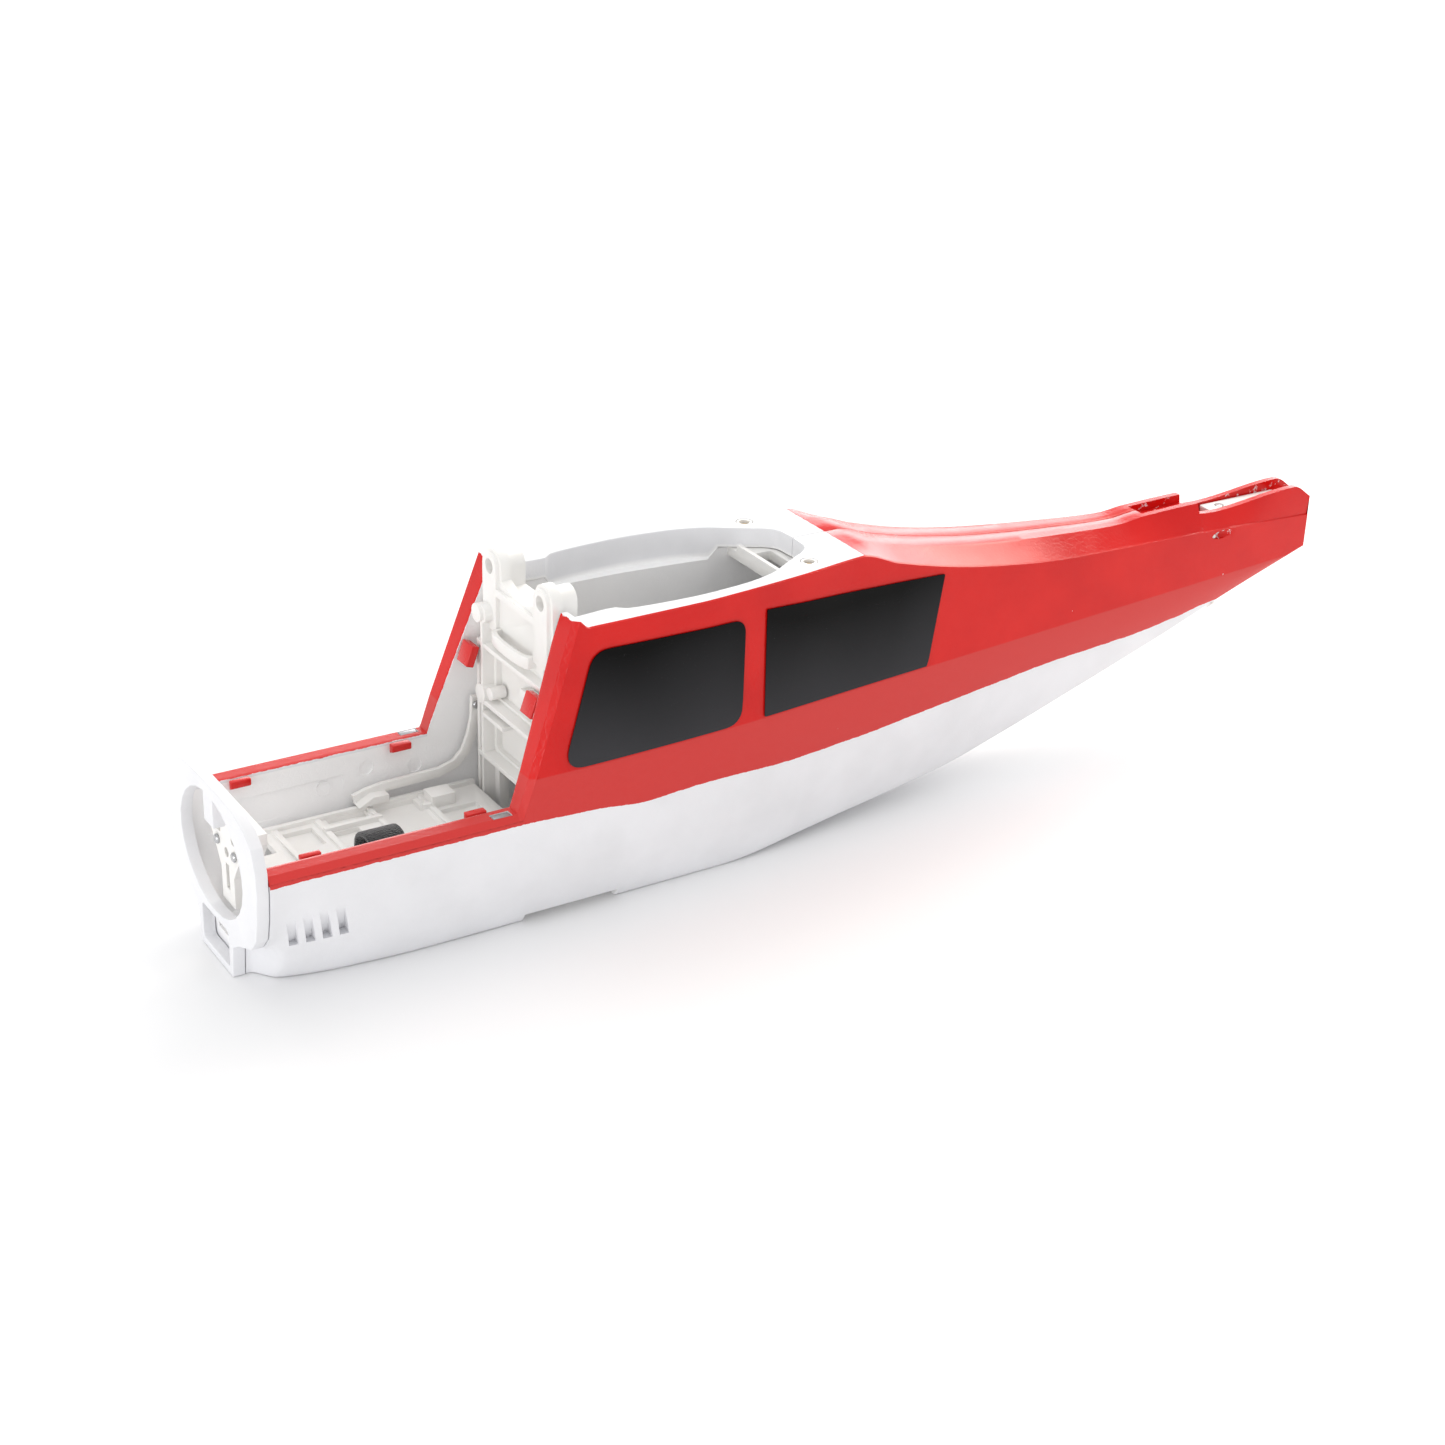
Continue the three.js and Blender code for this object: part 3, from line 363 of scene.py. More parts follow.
def metal_material(name, colour, worn, low, high):
    """Metal with faint stains; low and high are its range of roughness."""
    material, nodes, links = new_material(name)
    shader = nodes["Principled BSDF"]
    shader.inputs["Metallic"].default_value = 1.0
    stain = noise(nodes, links, 500, 4.0)
    links.new(mix_colour(nodes, links, stain, colour, worn), shader.inputs["Base Color"])
    links.new(spread(nodes, links, stain, 0.3, 0.7, low, high), shader.inputs["Roughness"])
    links.new(bump(nodes, links, noise(nodes, links, 3000, 3.0), 0.00002, 0.3), shader.inputs["Normal"])
    return material


def strip_material():
    """Black carbon strip with fibres running along it."""
    material, nodes, links = new_material("carbon_strip")
    shader = nodes["Principled BSDF"]
    where = nodes.new("ShaderNodeTexCoord")
    stretch = nodes.new("ShaderNodeMapping")
    stretch.inputs["Scale"].default_value = (40, 4000, 4000)
    fibres = nodes.new("ShaderNodeTexNoise")
    fibres.inputs["Scale"].default_value = 1.0
    links.new(where.outputs["Object"], stretch.inputs["Vector"])
    links.new(stretch.outputs["Vector"], fibres.inputs["Vector"])
    fibre = fibres.outputs["Fac"]
    colour = mix_colour(nodes, links, fibre, (0.008, 0.008, 0.009), (0.03, 0.03, 0.032))
    links.new(colour, shader.inputs["Base Color"])
    links.new(spread(nodes, links, fibre, 0.3, 0.7, 0.3, 0.5), shader.inputs["Roughness"])
    links.new(bump(nodes, links, fibre, 0.00003, 0.4), shader.inputs["Normal"])
    return material


def tube_material():
    material, nodes, links = new_material("natural_tube")
    shader = nodes["Principled BSDF"]
    cloud = noise(nodes, links, 90, 3.0)
    colour = mix_colour(nodes, links, cloud, (0.86, 0.86, 0.82), (0.78, 0.78, 0.74))
    links.new(colour, shader.inputs["Base Color"])
    links.new(spread(nodes, links, cloud, 0.3, 0.7, 0.25, 0.4), shader.inputs["Roughness"])
    shader.inputs["Subsurface Weight"].default_value = 0.3
    shader.inputs["Subsurface Radius"].default_value = (0.002, 0.002, 0.002)
    return material


LOOKS = {
    "painted_foam": foam_material("painted_foam", True),
    "white_foam": foam_material("white_foam", False),
    "red_foam": red_foam_material(),
    "nylon": nylon_material(),
    "film": film_material(),
    "webbing": webbing_material(),
    "steel": metal_material("steel", (0.56, 0.57, 0.58), (0.42, 0.42, 0.43), 0.22, 0.4),
    "nickel": metal_material("nickel", (0.42, 0.43, 0.45), (0.33, 0.33, 0.34), 0.3, 0.5),
    "brass": metal_material("brass", (0.72, 0.5, 0.2), (0.55, 0.36, 0.14), 0.25, 0.42),
    "strip": strip_material(),
    "tube": tube_material(),
}

# ---- hull form -------------------------------------------------------------

# Heights (_z) and half-widths (_half) of the hull's main lines, by station.
keel_z = line((4, 0), (170, 0), (206, 2.8), (240, 5.6), (270, 8.8), (300, 15.4), (337, 25.4),
              (375, 36.6), (412, 48.4), (LENGTH, 59.4))
belly_half = line((4, 13.2), (9, 18.5), (18, 22), (34, 24.6), (60, 26.2), (176, 25.6), (230, 20),
                  (270, 16.2), (330, 12.4), (400, 9.4), (LENGTH, 6.4))
crease_half = line((4, 37.4), (110, 37.2), (140, 36.4), (172, 34.6), (225, 29.3), (300, 21.8),
                   (381, 13.7), (LENGTH, 6.5))
deck_half = line((4, 34), (116, 33.9), (156, 33.6), (172, 32.4), (197, 29.6), (225, 25.2),
                 (300, 19.1), (376, 12.7), (LENGTH, 6.45))
deck_z = line((4, PILLAR_TOP), (SEAT_X, PILLAR_TOP), (115.5, SADDLE_TOP), (225, SADDLE_TOP),
              (242, 98.4), (270, 90.9), (289, 87.2), (318, 83), (348, 80.7), (378, 78.8),
              (412, 76.1), (LENGTH, 72.8))
crown_half = line((4, 24), (212, 16), (231, 12.4), (265, 9.2), (300, 8.8), (343, 7.2),
                  (366, 6.4), (LENGTH, 6.3))
crown_z = line((4, PILLAR_TOP), (SEAT_X, PILLAR_TOP), (115.5, SADDLE_TOP), (226, SADDLE_TOP),
               (231, SADDLE_TOP), (246, 100.2), (265, 95.6), (295, 90.8), (325, 87.9), (356, 86),
               (366, 87), (392.8, 87.5), (393.4, 83.2), (402.5, 82.4), (442.6, 85.4), (LENGTH, 80.2))
opening_half = line((SEAT_X, 24.2), (129.5, 23), (134.5, 26), (158, 27.4), (176, 26.1), (190, 22.8),
                    (199, 17.8), (205, 14.3), (211, 10.5), (OPENING_END - 0.4, 7), (OPENING_END, SEAM))
# The chin's outline runs from the belly edge (0) to the crease (1).
chin_half = line((0, 13.2), (0.05, 14.3), (0.13, 19.5), (0.24, 30), (0.38, 34.5), (0.56, 36.3),
                 (0.76, 37.3), (1, 37.4))
chin_z = line((0, 0), (0.05, 11.3), (0.13, 14.6), (0.24, 18.8), (0.38, 24), (0.56, 31.5),
              (0.76, 40.5), (1, CREASE_Z))
# Lower edge of the red paint.
paint_z = line((4, 42.4), (89, 42.4), (120, 41), (135, 39), (157, 39.6), (201, 37.6), (228, 38.0),
               (246, 39.0), (265, 40.2), (292, 41.8), (323, 43.2), (354, 43.2), (384, 44.9), (398, 46.5),
               (LENGTH, 47.5))


def crease_z(x):
    """Height of the crease along the side, which rides just above the keel at the tail."""
    return max(CREASE_Z, keel_z(x) + 0.8)


def lower_side(x, t):
    """Half-width and height on the curved lower side, from the belly edge (0) to the crease (1)."""
    fullness = lerp(3.0, 1.9, smoothstep(x, 130, 210))
    chin_share = 1 - smoothstep(x, RING_DEPTH, CHIN_END)
    width = lerp(belly_half(x), crease_half(x), 1 - (1 - t) ** fullness)
    height = lerp(keel_z(x), crease_z(x), t)
    return lerp(width, chin_half(t), chin_share), lerp(height, chin_z(t), chin_share)


def share_at(x, z):
    """Where on the lower side a height lies."""
    low, high = 0.0, 1.0
    for _ in range(26):
        middle = (low + high) / 2
        if lower_side(x, middle)[1] < z:
            low = middle
        else:
            high = middle
    return (low + high) / 2


def side_half(x, z):
    """Half-width of the outside at a height between crease and deck."""
    if z <= crease_z(x):
        return lower_side(x, share_at(x, z))[0]
    t = (z - crease_z(x)) / (deck_z(x) - crease_z(x))
    return lerp(crease_half(x), deck_half(x), t)


def thinning(x):
    """How much of the full wall thickness is left towards the tail."""
    return 1 - 0.4 * smoothstep(x, 215, 380)


def roof_z(x):
    """Underside of the deck."""
    return crown_z(min(x, 352)) - 7 * thinning(x)


def inner_top(x):
    """The upper corner of the inside wall."""
    return deck_half(x) - (WALL + 1.5) * thinning(x), min(deck_z(x) - 3 * thinning(x), roof_z(x) - 1)


def inner_half(x, z):
    """Half-width of the inside at a height above the floor."""
    thin = thinning(x)
    if z <= crease_z(x):
        low = keel_z(x) + FLOOR * thin
        t = min(max((z - low) / (crease_z(x) - low), 0.0), 1.0)
        return lower_side(x, t)[0] - lerp(5, WALL, t) * thin
    corner_y, corner_z = inner_top(x)
    t = min((z - crease_z(x)) / (corner_z - crease_z(x)), 1.0)
    return lerp(crease_half(x) - WALL * thin, corner_y, t)


def sill_z(x):
    """Top of the open part of the shell: rails, raked pillars, then the wing seat."""
    if x < PILLAR_HEAD:
        return RAIL_TOP + max(x - PILLAR_FOOT, 0) * PILLAR_SLOPE
    return deck_z(x)


PAINT_REACH = 3.0


def deck_paint(x):
    """Signed distance, in millimetres, into the red on surfaces that face up."""
    if x < PILLAR_HEAD:
        return min(PAINT_REACH, PILLAR_HEAD - x)
    return max(-PAINT_REACH, PILLAR_HEAD - x, x - RIDGE_X)


BEVEL_END = 112.4
LEAST_BEVEL = 0.35
EDGE_WRAP = 0.55
LOWER_STEPS = 15
INNER_STEPS = 9


def outer_path(x):
    """Keel to the sill's or deck's outer edge, as (half-width, height, paint)."""
    top = sill_z(x)
    bevel_drop = SILL_EDGE * math.hypot(1, PILLAR_SLOPE)
    pillar_edge = RAIL_TOP + (x - PILLAR_FOOT) * PILLAR_SLOPE - bevel_drop
    edge_z = min(top - LEAST_BEVEL, max(RAIL_TOP - SILL_EDGE, pillar_edge))
    fold = min(crease_z(x), edge_z - 1.0)
    soft = min(0.7, 0.2 * (fold - keel_z(x)))
    reach = share_at(x, fold - soft)
    belly, floor = lower_side(x, 0)
    points = [(SEAM, floor), (belly * 0.5, floor), (belly - 1.2, floor), (belly - 0.35, floor + 0.12)]
    for i in range(1, LOWER_STEPS + 1):
        points.append(lower_side(x, reach * (i / LOWER_STEPS) ** 1.35))
    for height in (fold, fold + soft, lerp(fold, edge_z, 0.3), lerp(fold, edge_z, 0.65), edge_z):
        points.append((side_half(x, height), height))
    painted = [(y, z, z - paint_z(x)) for y, z in points]
    y, z, _ = painted[-1]
    painted[-1] = (y, z, 0.3 if x > PILLAR_HEAD else 1.0)
    inset = SILL_EDGE
    if x > PILLAR_FOOT + 1.2:
        inset = max(LEAST_BEVEL, SILL_EDGE * (top - edge_z) / bevel_drop)
    if x >= BEVEL_END:
        inset = max(inset, EDGE_WRAP)
    painted.append((side_half(x, top) - inset, top, max(deck_paint(x), 0.3)))
    return painted, top


def top_path(x, start, top):
    """From the outer edge across the top to the inner edge, and round that edge."""
    y0 = start[0]
    if x >= OPENING_END:
        corner = (crown_half(x), crown_z(x))
        end_y, end_z, rounding = SEAM, crown_z(x), 0.22
    elif x > SEAT_X:
        end_y, end_z, rounding = opening_half(x), top, 0.6
        corner = (max(crown_half(x), end_y + 1.0), crown_z(x))
    else:
        end_y, end_z, rounding = inner_half(x, top), top, 0.5
        corner = (lerp(y0, end_y, 0.6), top)
    points = []
    for t in (0.03, 0.3, 0.6, 0.9):
        points.append((lerp(y0, corner[0], t), lerp(top, corner[1], t)))
    points.append(corner)
    points.append((lerp(corner[0], end_y + rounding, 0.5), lerp(corner[1], end_z, 0.5)))
    points.append((end_y + rounding, end_z))
    points.append((end_y + 0.3 * rounding, end_z - 0.3 * rounding))
    points.append((end_y, end_z - rounding))
    painted = [(y, z, deck_paint(x)) for y, z in points]
    if x < PILLAR_HEAD:
        # The red coat ends on the rounded inner edge.
        for back, paint in ((3, 0.35), (2, 0.05), (1, -0.3)):
            y, z, _ = painted[-back]
            painted[-back] = (y, z, paint)
    return painted


def inner_path(x, start, top):
    """Down the inside wall to the floor at the seam."""
    if x > HOLLOW_END:
        low, high = keel_z(x), start[1]
        count = INNER_STEPS + 5
        return [(SEAM, lerp(high, low, (i + 1) / (count + 1)), BARE) for i in range(count)]
    edge_y = start[0]
    roof = roof_z(x)
    corner_y, corner_z = inner_top(x)
    if x <= SEAT_X:
        near_top = (min(roof, top - 1.2), min(roof - 0.5, top - 2.0))
        points = [(min(inner_half(x, z), edge_y + 0.2), z) for z in near_top]
        corner = min(corner_z, top - 3.0)
        points.append((inner_half(x, corner), corner))
        fold = min(crease_z(x), top - 4.0)
    else:
        points = [(edge_y, roof), (max(edge_y + 0.3, crown_half(x) * 0.5), roof), (corner_y, corner_z)]
        shelf_y = inner_half(x, LEDGE_Z)
        if x < OPENING_END and edge_y > shelf_y + 0.3:
            points = [(edge_y, LEDGE_Z + 0.5), (edge_y - 0.4, LEDGE_Z), (shelf_y, LEDGE_Z - 0.3)]
        fold = crease_z(x)
    points.append((inner_half(x, fold), fold))
    low = keel_z(x) + FLOOR * thinning(x)
    for i in range(1, INNER_STEPS + 1):
        height = lerp(fold, low, (i / INNER_STEPS) ** 0.8)
        points.append((inner_half(x, height), height))
    points.append((SEAM, low))
    return [(y, z, BARE) for y, z in points]


def section(x):
    """One closed loop round half of the shell at a station."""
    outer, top = outer_path(x)
    across = top_path(x, outer[-1], top)
    return outer + across + inner_path(x, across[-1], top)


# Stations where the section changes, with the spacing of the sections from each to the next.
STATIONS = ((RING_DEPTH + GAP, 0.8), (CHIN_END, 2), (24, 4), (PILLAR_FOOT, 0.5), (90.3, 0.7), (92.2, 1),
            (PILLAR_HEAD - 0.1, 3), (PILLAR_HEAD + 0.1, 3), (SEAT_X, 3), (112.6, 1), (115.5, 3),
            (205, 1), (211, 0.6), (OPENING_END - 0.4, 3), (OPENING_END, 3), (OPENING_END + STEP, 1.2),
            (221, 0.8), (236, 2), (260, 3), (366, 3), (392.8, 3), (393.4, 3), (HOLLOW_END, 3),
            (HOLLOW_END + STEP, 3), (402.5, 3), (442.6, 1.5), (LENGTH, 3))


def hull_stations():
    """Every station that gets a section, nose to tail."""
    stations = []
    for (low, spacing), (high, _) in zip(STATIONS, STATIONS[1:]):
        count = max(1, round((high - low) / spacing))
        stations += [lerp(low, high, i / count) for i in range(count)]
    return stations + [LENGTH]


def closed_skin(name, rings):
    """A mesh through rings of (x, y, z, paint), capped at both ends, with its paint layer."""
    mesh_maker = bmesh.new()
    layer = mesh_maker.loops.layers.uv.new("paint")
    paint = {}
    made = []
    for ring in rings:
        row = []
        for x, y, z, depth in ring:
            vertex = mesh_maker.verts.new(place(x, y, z))
            paint[vertex] = depth
            row.append(vertex)
        made.append(row)
    count = len(made[0])
    for near, far in zip(made, made[1:]):
        for i in range(count):
            j = (i + 1) % count
            mesh_maker.faces.new((near[i], near[j], far[j], far[i]))
    ends = [mesh_maker.faces.new(list(reversed(made[0]))), mesh_maker.faces.new(made[-1])]
    for face in mesh_maker.faces:
        for loop in face.loops:
            loop[layer].uv = (paint[loop.vert], 0.0)
    bmesh.ops.triangulate(mesh_maker, faces=ends)
    bmesh.ops.remove_doubles(mesh_maker, verts=mesh_maker.verts, dist=1e-7)
    bmesh.ops.recalc_face_normals(mesh_maker, faces=mesh_maker.faces)
    mesh = bpy.data.meshes.new(name)
    mesh_maker.to_mesh(mesh)
    mesh_maker.free()
    return mesh


# ---- cutters ---------------------------------------------------------------


def prism(maker, points, sweep):
    """A closed prism: points are one end's corners, sweep carries them to the other end."""
    near = [maker.verts.new(place(*p)) for p in points]
    far = [maker.verts.new(place(*(Vector(p) + Vector(sweep)))) for p in points]
    maker.faces.new(near)
    maker.faces.new(list(reversed(far)))
    for i in range(len(near)):
        j = (i + 1) % len(near)
        maker.faces.new((near[j], near[i], far[i], far[j]))


def block(maker, xs, ys, zs):
    """A box between two stations, two sides and two heights."""
    corners = [(xs[0], ys[0], zs[0]), (xs[0], ys[1], zs[0]), (xs[0], ys[1], zs[1]), (xs[0], ys[0], zs[1])]
    prism(maker, corners, (xs[1] - xs[0], 0, 0))


def bore(maker, start, end, radius, sides=28):
    """A round cutter between two points."""
    axis = Vector(end) - Vector(start)
    turn = axis.to_track_quat("Z", "Y")
    ring = []
    for i in range(sides):
        angle = 2 * math.pi * i / sides
        ring.append(tuple(Vector(start) + turn @ Vector((math.cos(angle), math.sin(angle), 0)) * radius))
    prism(maker, ring, axis)


def louvre(maker, x, side):
    """A slanted cooling slot, deepest at its lower end."""
    slope, width, low, high = 0.19, 3.1, 17.8, 30.0
    corners = [(29.0, low), (46, low), (46, high), (36.1, high)]
    points = [(x - slope * (z - low), side * y, z) for y, z in corners]
    prism(maker, points, (width, 0, 0))


LOUVRES = [11.8 + 5.45 * i for i in range(4)]
GEAR_NOTCH = ((95.5, 130.5), (-70, 70), (-9, 3.4))
MAGNET_X, MAGNET_Y = 83.8, 33.9
MAGNET_HALF_LENGTH, MAGNET_HALF_WIDTH, MAGNET_FLOOR = 3.4, 1.6, 43.4
SCREW_X, SCREW_Y, SCREW_RADIUS = 206.8, 20.2, 3.15
FIN_SLOT = ((367.4, 84.2), (394, 84.2), (398, 79.2), (470, 79.2), (470, 99), (367.4, 99))
FIN_SLOT_WIDTH = 8.0
ROD_EXIT_START, ROD_EXIT_END, ROD_EXIT_RADIUS = (366, 2.6, 73.2), (413, 12.6, 74.8), 1.6
PIN_MARKS = ((50.8, 34.6), (66.5, 38.6), (84.0, 35.4))
# Paint values of cut faces that are white outside faces, without the inside's painted light, and of those
# that caught overspray.
OUTSIDE_WHITE_CUT, SPRAYED_CUT = -3.0, 0.12


def wall_details(maker, side):
    """Shallow recess and round moulding-pin marks on the inside wall of the battery bay."""
    first, last, middle, low, high = 10.0, 58.0, 34.0, 28.5, 38.0
    low_y, high_y = inner_half(middle, low), inner_half(middle, high)
    corners = [(low_y - 6, low), (low_y + 0.1, low), (high_y + 0.7, high), (high_y - 6, high)]
    prism(maker, [(first, side * y, z) for y, z in corners], (last - first, 0, 0))
    for x, z in PIN_MARKS:
        y = inner_half(x, z)
        bore(maker, (x, side * (y - 4), z), (x, side * (y + 0.45), z), 2.6, 24)


def shell_cutter(side):
    """Everything that is cut from one foam half, with the paint of each cut face."""
    maker = bmesh.new()
    for x in LOUVRES:
        louvre(maker, x, side)
    louvre_faces = len(maker.faces)
    block(maker, *GEAR_NOTCH)
    along = (MAGNET_X - MAGNET_HALF_LENGTH, MAGNET_X + MAGNET_HALF_LENGTH)
    across = sorted((side * (MAGNET_Y - MAGNET_HALF_WIDTH), side * (MAGNET_Y + MAGNET_HALF_WIDTH)))
    block(maker, along, across, (MAGNET_FLOOR, 60))
    bore(maker, (SCREW_X, side * SCREW_Y, 98), (SCREW_X, side * SCREW_Y, 120), SCREW_RADIUS)
    wall_details(maker, side)
    bare_faces = len(maker.faces)
    prism(maker, [(x, -FIN_SLOT_WIDTH / 2, z) for x, z in FIN_SLOT], (0, FIN_SLOT_WIDTH, 0))
    start, end = ((x, side * y, z) for x, y, z in (ROD_EXIT_START, ROD_EXIT_END))
    bore(maker, start, end, ROD_EXIT_RADIUS, 20)
    bmesh.ops.recalc_face_normals(maker, faces=maker.faces)
    layer = maker.loops.layers.uv.new("paint")
    for i, face in enumerate(maker.faces):
        if i < louvre_faces:
            paint = OUTSIDE_WHITE_CUT
        elif i < bare_faces:
            paint = BARE
        else:
            paint = SPRAYED_CUT
        for loop in face.loops:
            loop[layer].uv = (paint, 0.0)
    mesh = bpy.data.meshes.new("cutter")
    maker.to_mesh(mesh)
    maker.free()
    return link("cutter", mesh)


def carve(piece, cutter, operation="DIFFERENCE"):
    """Cuts the cutter from the piece, or joins it to the piece, and removes the cutter."""
    cut = piece.modifiers.new("cut", "BOOLEAN")
    cut.operation = operation
    cut.solver = "EXACT"
    cut.use_self = operation == "UNION"
    cut.object = cutter
    apply_modifiers(piece)
    bpy.data.objects.remove(cutter)


# ---- pieces ----------------------------------------------------------------


def finish_piece(piece, node, look):
    """Gives a piece its material and body, and hides the CAD solid it stands for."""
    piece.data.materials.clear()
    piece.data.materials.append(LOOKS[look])
    for polygon in piece.data.polygons:
        polygon.material_index = 0
    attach(piece, "root")
    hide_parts(node)


def make_shells():
    stations = hull_stations()
    sections = [section(x) for x in stations]
    for name, side in SIDES.items():
        rings = [[(x, side * y, z, paint) for y, z, paint in ring] for x, ring in zip(stations, sections)]
        piece = link(f"foam_shell_{name}", closed_skin(f"foam_shell_{name}", rings))
        carve(piece, shell_cutter(side))
        shade(piece.data, 28)
        finish_piece(piece, f"fuselage_half_{name}", "painted_foam")


BULKHEAD_X = 108.0
# Round bosses: out, up, radius and how far they stand off the plate.
BOSSES = ((19.4, 91.5, 3.2, 5.4), (18.6, 62.5, 3.4, 4.6), (12.4, 64.6, 2.2, 4.2))
# Post, rib and clip: how far they stand off the plate, then their extents across and up.
RIBS = ((4.2, (17.2, 18.6), (22, 90)), (5.2, (1.5, 16.5), (55.6, 57)), (2.4, (-15, -6), (66, 74)))


def bulkhead_details(maker):
    """Bosses, ribs and the curved shelf moulded on the front of the cabin bulkhead."""
    for y, z, radius, reach in BOSSES:
        bore(maker, (BULKHEAD_X - reach, y, z), (BULKHEAD_X + 1, y, z), radius)
    for reach, across, up in RIBS:
        block(maker, (BULKHEAD_X - reach, BULKHEAD_X + 1), across, up)
    half_width, reach, low, high = 12.6, 4.8, 83.5, 87.6
    curve = [(BULKHEAD_X + 0.5, half_width), (BULKHEAD_X - reach * 0.6, half_width)]
    for i in range(9):
        angle = math.pi * i / 8
        curve.append((BULKHEAD_X - reach * (0.6 + 0.4 * math.sin(angle)), half_width * math.cos(angle)))
    curve.append((BULKHEAD_X + 0.5, -half_width))
    inner = [(x + (1.3 if x < BULKHEAD_X else 0), y * 0.89) for x, y in reversed(curve)]
    prism(maker, [(x, y, low) for x, y in curve + inner], (0, 0, high - low))


DETAILS = {"cabin_bulkhead": bulkhead_details}


def join_details(piece, node):
    """Adds the moulded details of a piece that has them."""
    if node not in DETAILS:
        return
    maker = bmesh.new()
    DETAILS[node](maker)
    bmesh.ops.recalc_face_normals(maker, faces=maker.faces)
    mesh = bpy.data.meshes.new("details")
    maker.to_mesh(mesh)
    maker.free()
    carve(piece, link("details", mesh), "UNION")


def soften(node, look, width=0.35, segments=2):
    """Stands a copy in for a CAD solid, with its flat facets joined and its edges rounded."""
    mesh = NODES[node].data.copy()
    maker = bmesh.new()
    maker.from_mesh(mesh)
    bmesh.ops.remove_doubles(maker, verts=maker.verts, dist=1e-6)
    bmesh.ops.dissolve_limit(maker, angle_limit=math.radians(1.5), verts=maker.verts, edges=maker.edges)
    maker.to_mesh(mesh)
    maker.free()
    piece = link(f"{node}_body", mesh)
    join_details(piece, node)
    rounding = piece.modifiers.new("rounding", "BEVEL")
    rounding.width = width * MM
    rounding.segments = segments
    rounding.limit_method = "ANGLE"
    rounding.angle_limit = math.radians(30)
    rounding.miter_outer = "MITER_ARC"
    apply_modifiers(piece)
    shade(piece.data, 40)
    finish_piece(piece, node, look)


# Each window: its corners (aft, up), then how far the rounding of each corner reaches.
FRONT_WINDOW = (((104.4, 58.2), (172.9, 58.2), (174.2, 95.0), (116.4, 96.4)), (8, 7, 5, 6))
REAR_WINDOW = (((182.4, 58.2), (254.6, 58.2), (262.6, 89.9), (182.9, 96.2)), (0.6, 0.6, 0.6, 0.6))
# How far the film's back and face stand off the foam.
FILM_BACK, FILM_FACE = 0.3, 0.62
WINDOW_COLUMNS, WINDOW_ROWS, CORNER_STEPS = 72, 14, 10


def rounded_outline(corners, radii):
    """The outline in (x, z) with each corner replaced by a quadratic curve."""
    points = []
    for i, corner in enumerate(corners):
        here = Vector(corner)
        start = here + (Vector(corners[i - 1]) - here).normalized() * radii[i]
        end = here + (Vector(corners[(i + 1) % len(corners)]) - here).normalized() * radii[i]
        for k in range(CORNER_STEPS + 1):
            t = k / CORNER_STEPS
            points.append(start * (1 - t) ** 2 + here * 2 * t * (1 - t) + end * t * t)
    return points


def column_ends(points, x):
    """Lowest and highest point of the outline at a station."""
    heights = []
    for a, b in zip(points, points[1:] + points[:1]):
        if (a.x - x) * (b.x - x) <= 0 and a.x != b.x:
            heights.append(lerp(a.y, b.y, (x - a.x) / (b.x - a.x)))
    return min(heights), max(heights)


def make_window(node, side, corners, radii):
    """A thin glossy film that lies on the curved cabin side."""
    points = rounded_outline(corners, radii)
    first = min(p.x for p in points) + 0.01
    last = max(p.x for p in points) - 0.01
    rings = []
    for i in range(WINDOW_COLUMNS + 1):
        x = lerp(first, last, 0.5 - 0.5 * math.cos(math.pi * i / WINDOW_COLUMNS))
        low, high = column_ends(points, x)
        heights = [lerp(low, high, k / WINDOW_ROWS) for k in range(WINDOW_ROWS + 1)]
        face = [(x, side * (side_half(x, z) + FILM_FACE), z, 0.0) for z in heights]
        back = [(x, side * (side_half(x, z) + FILM_BACK), z, 0.0) for z in reversed(heights)]
        rings.append(face + back)
    piece = link(f"{node}_film", closed_skin(f"{node}_film", rings))
    shade(piece.data, 40)
    finish_piece(piece, node, "film")


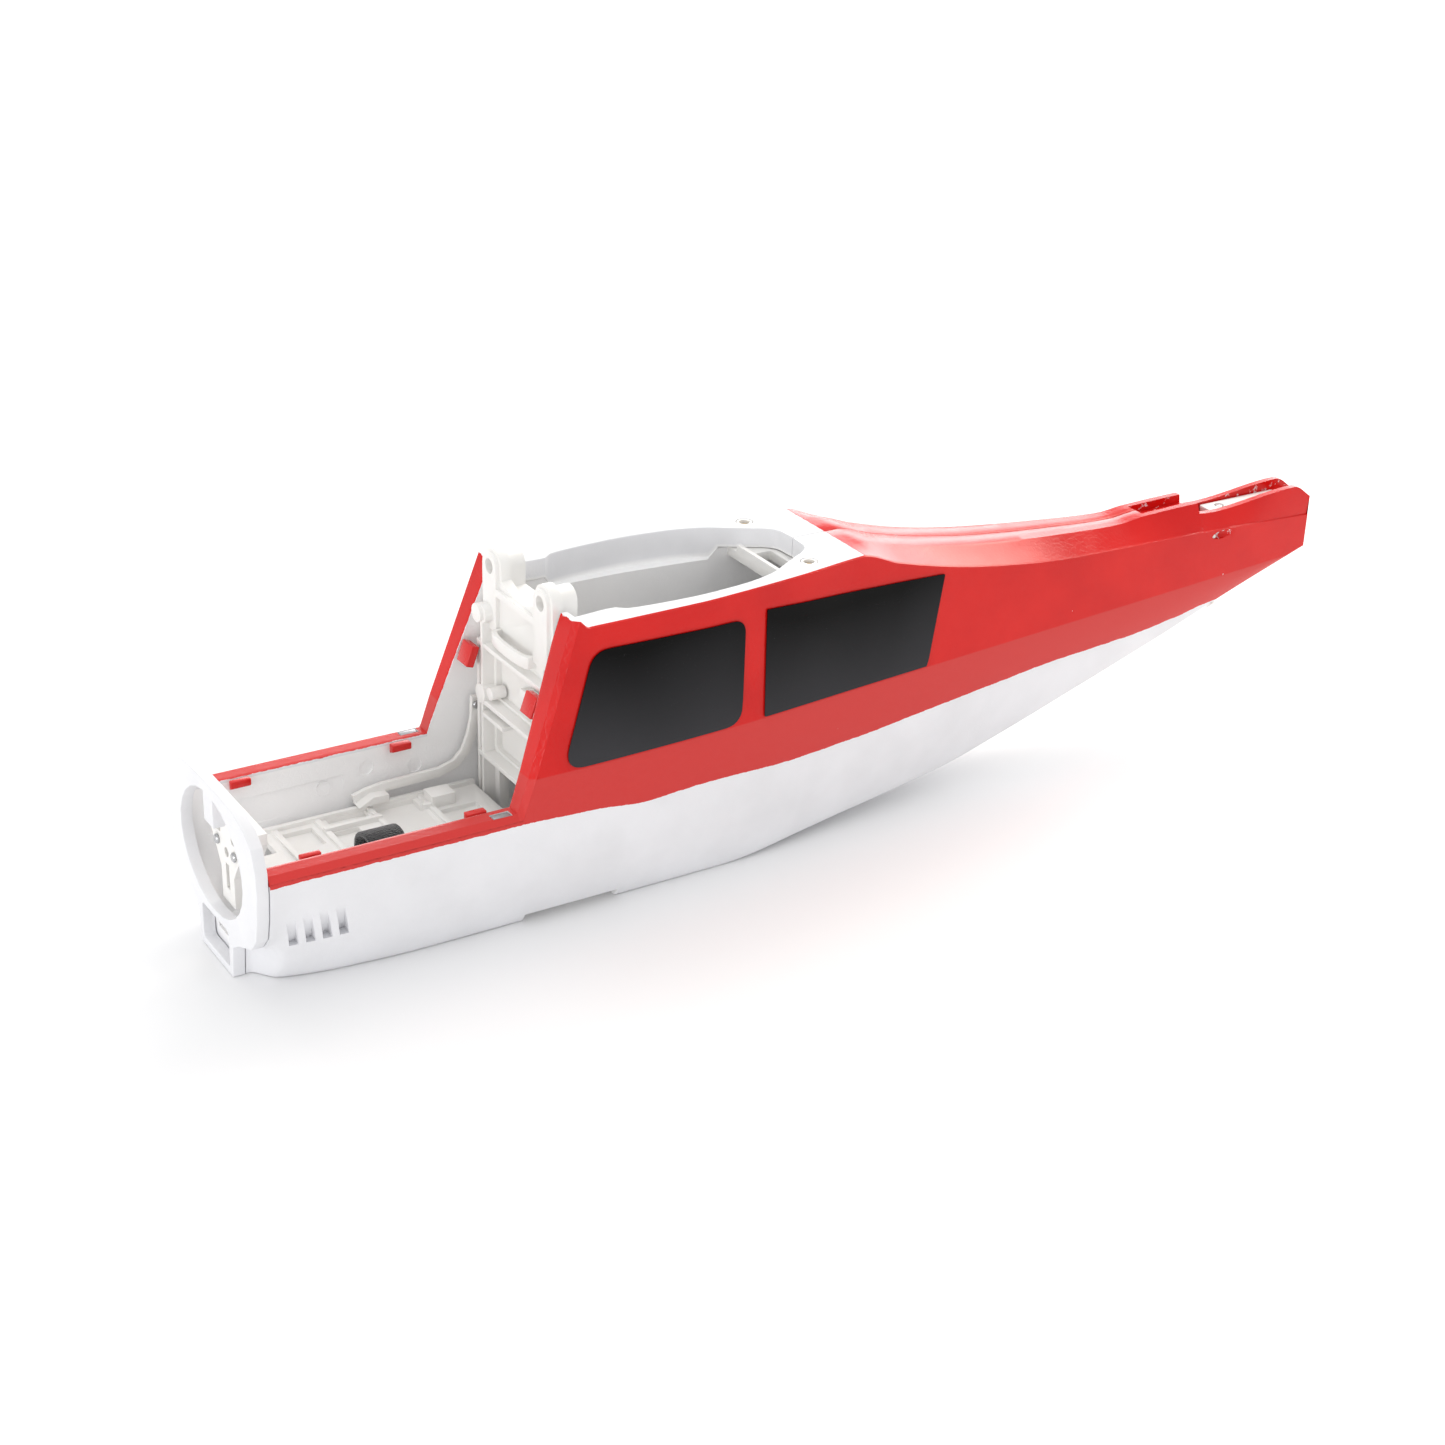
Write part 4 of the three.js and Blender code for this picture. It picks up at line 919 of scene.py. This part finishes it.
make_shells()
for name, side in SIDES.items():
    make_window(f"window_front_{name}", side, *FRONT_WINDOW)
    make_window(f"window_rear_{name}", side, *REAR_WINDOW)
soften("motor_mount", "nylon", 0.15, 1)
for part in ("battery_tray", "cable_guide", "cabin_bulkhead", "servo_tray", "rear_wing_plate",
             "landing_gear_cover", "landing_gear_block", "tail_seat_plate", "tail_wheel_bracket"):
    soften(part, "nylon")
soften("nose_ring", "white_foam", 1.5, 4)
soften("battery_strap", "webbing", 0.3)
for name in SIDES:
    soften(f"hatch_magnet_{name}", "nickel", 0.25)
    for part in ("hatch_catch_front", "hatch_catch_rear", "windscreen_catch"):
        soften(f"{part}_{name}", "red_foam", 0.4, 3)
    soften(f"side_stiffener_{name}", "strip", 0.15)
    soften(f"wing_screw_insert_{name}", "brass", 0.08)
for part in ("rudder_pushrod_tube", "elevator_pushrod_tube"):
    soften(part, "tube", 0.05, 1)
for node in NODES:
    if "_screw" in node and "insert" not in node:
        soften(node, "steel", 0.12)

# ---- studio ----------------------------------------------------------------


def make_floor():
    maker = bmesh.new()
    bmesh.ops.create_grid(maker, x_segments=1, y_segments=1, size=30)
    mesh = bpy.data.meshes.new("floor")
    maker.to_mesh(mesh)
    maker.free()
    floor = link("floor", mesh)
    floor.location.z = -0.0002
    material, nodes, links = new_material("floor")
    shader = nodes["Principled BSDF"]
    shader.inputs["Base Color"].default_value = (0.93, 0.93, 0.935, 1)
    shader.inputs["Roughness"].default_value = 0.9
    shader.inputs["Specular IOR Level"].default_value = 0.1
    mesh.materials.append(material)


def area_light(name, where, target, size, power, colour=(1, 1, 1)):
    """A soft box; size is its width and height in metres."""
    data = bpy.data.lights.new(name, "AREA")
    data.shape = "RECTANGLE"
    data.size, data.size_y = size
    data.energy = power
    data.color = colour
    lamp = bpy.data.objects.new(name, data)
    lamp.location = where
    lamp.rotation_euler = (Vector(target) - Vector(where)).to_track_quat("-Z", "Y").to_euler()
    bpy.context.scene.collection.objects.link(lamp)


def make_studio():
    make_floor()
    world = bpy.data.worlds.new("studio")
    world.use_nodes = True
    world.node_tree.nodes["Background"].inputs["Color"].default_value = (1, 1, 1, 1)
    world.node_tree.nodes["Background"].inputs["Strength"].default_value = 0.84
    bpy.context.scene.world = world
    area_light("overhead", (0.1, 0.35, 1.5), (0, 0, 0.05), (1.6, 1.6), 6)
    area_light("behind", (1.4, 1.7, 0.56), (0.05, 0, 0.08), (2.3, 0.9), 20)
    area_light("above_tail", (1.24, 0.5, 1.03), (0.06, 0, 0.09), (0.75, 0.75), 11, (1, 0.92, 0.82))
    area_light("key", (-1.85, -0.5, 0.28), (-0.1, 0, 0.06), (0.9, 0.5), 7.5)
    settings = bpy.context.scene.view_settings
    settings.view_transform = "Standard"
    settings.look = "None"


make_studio()
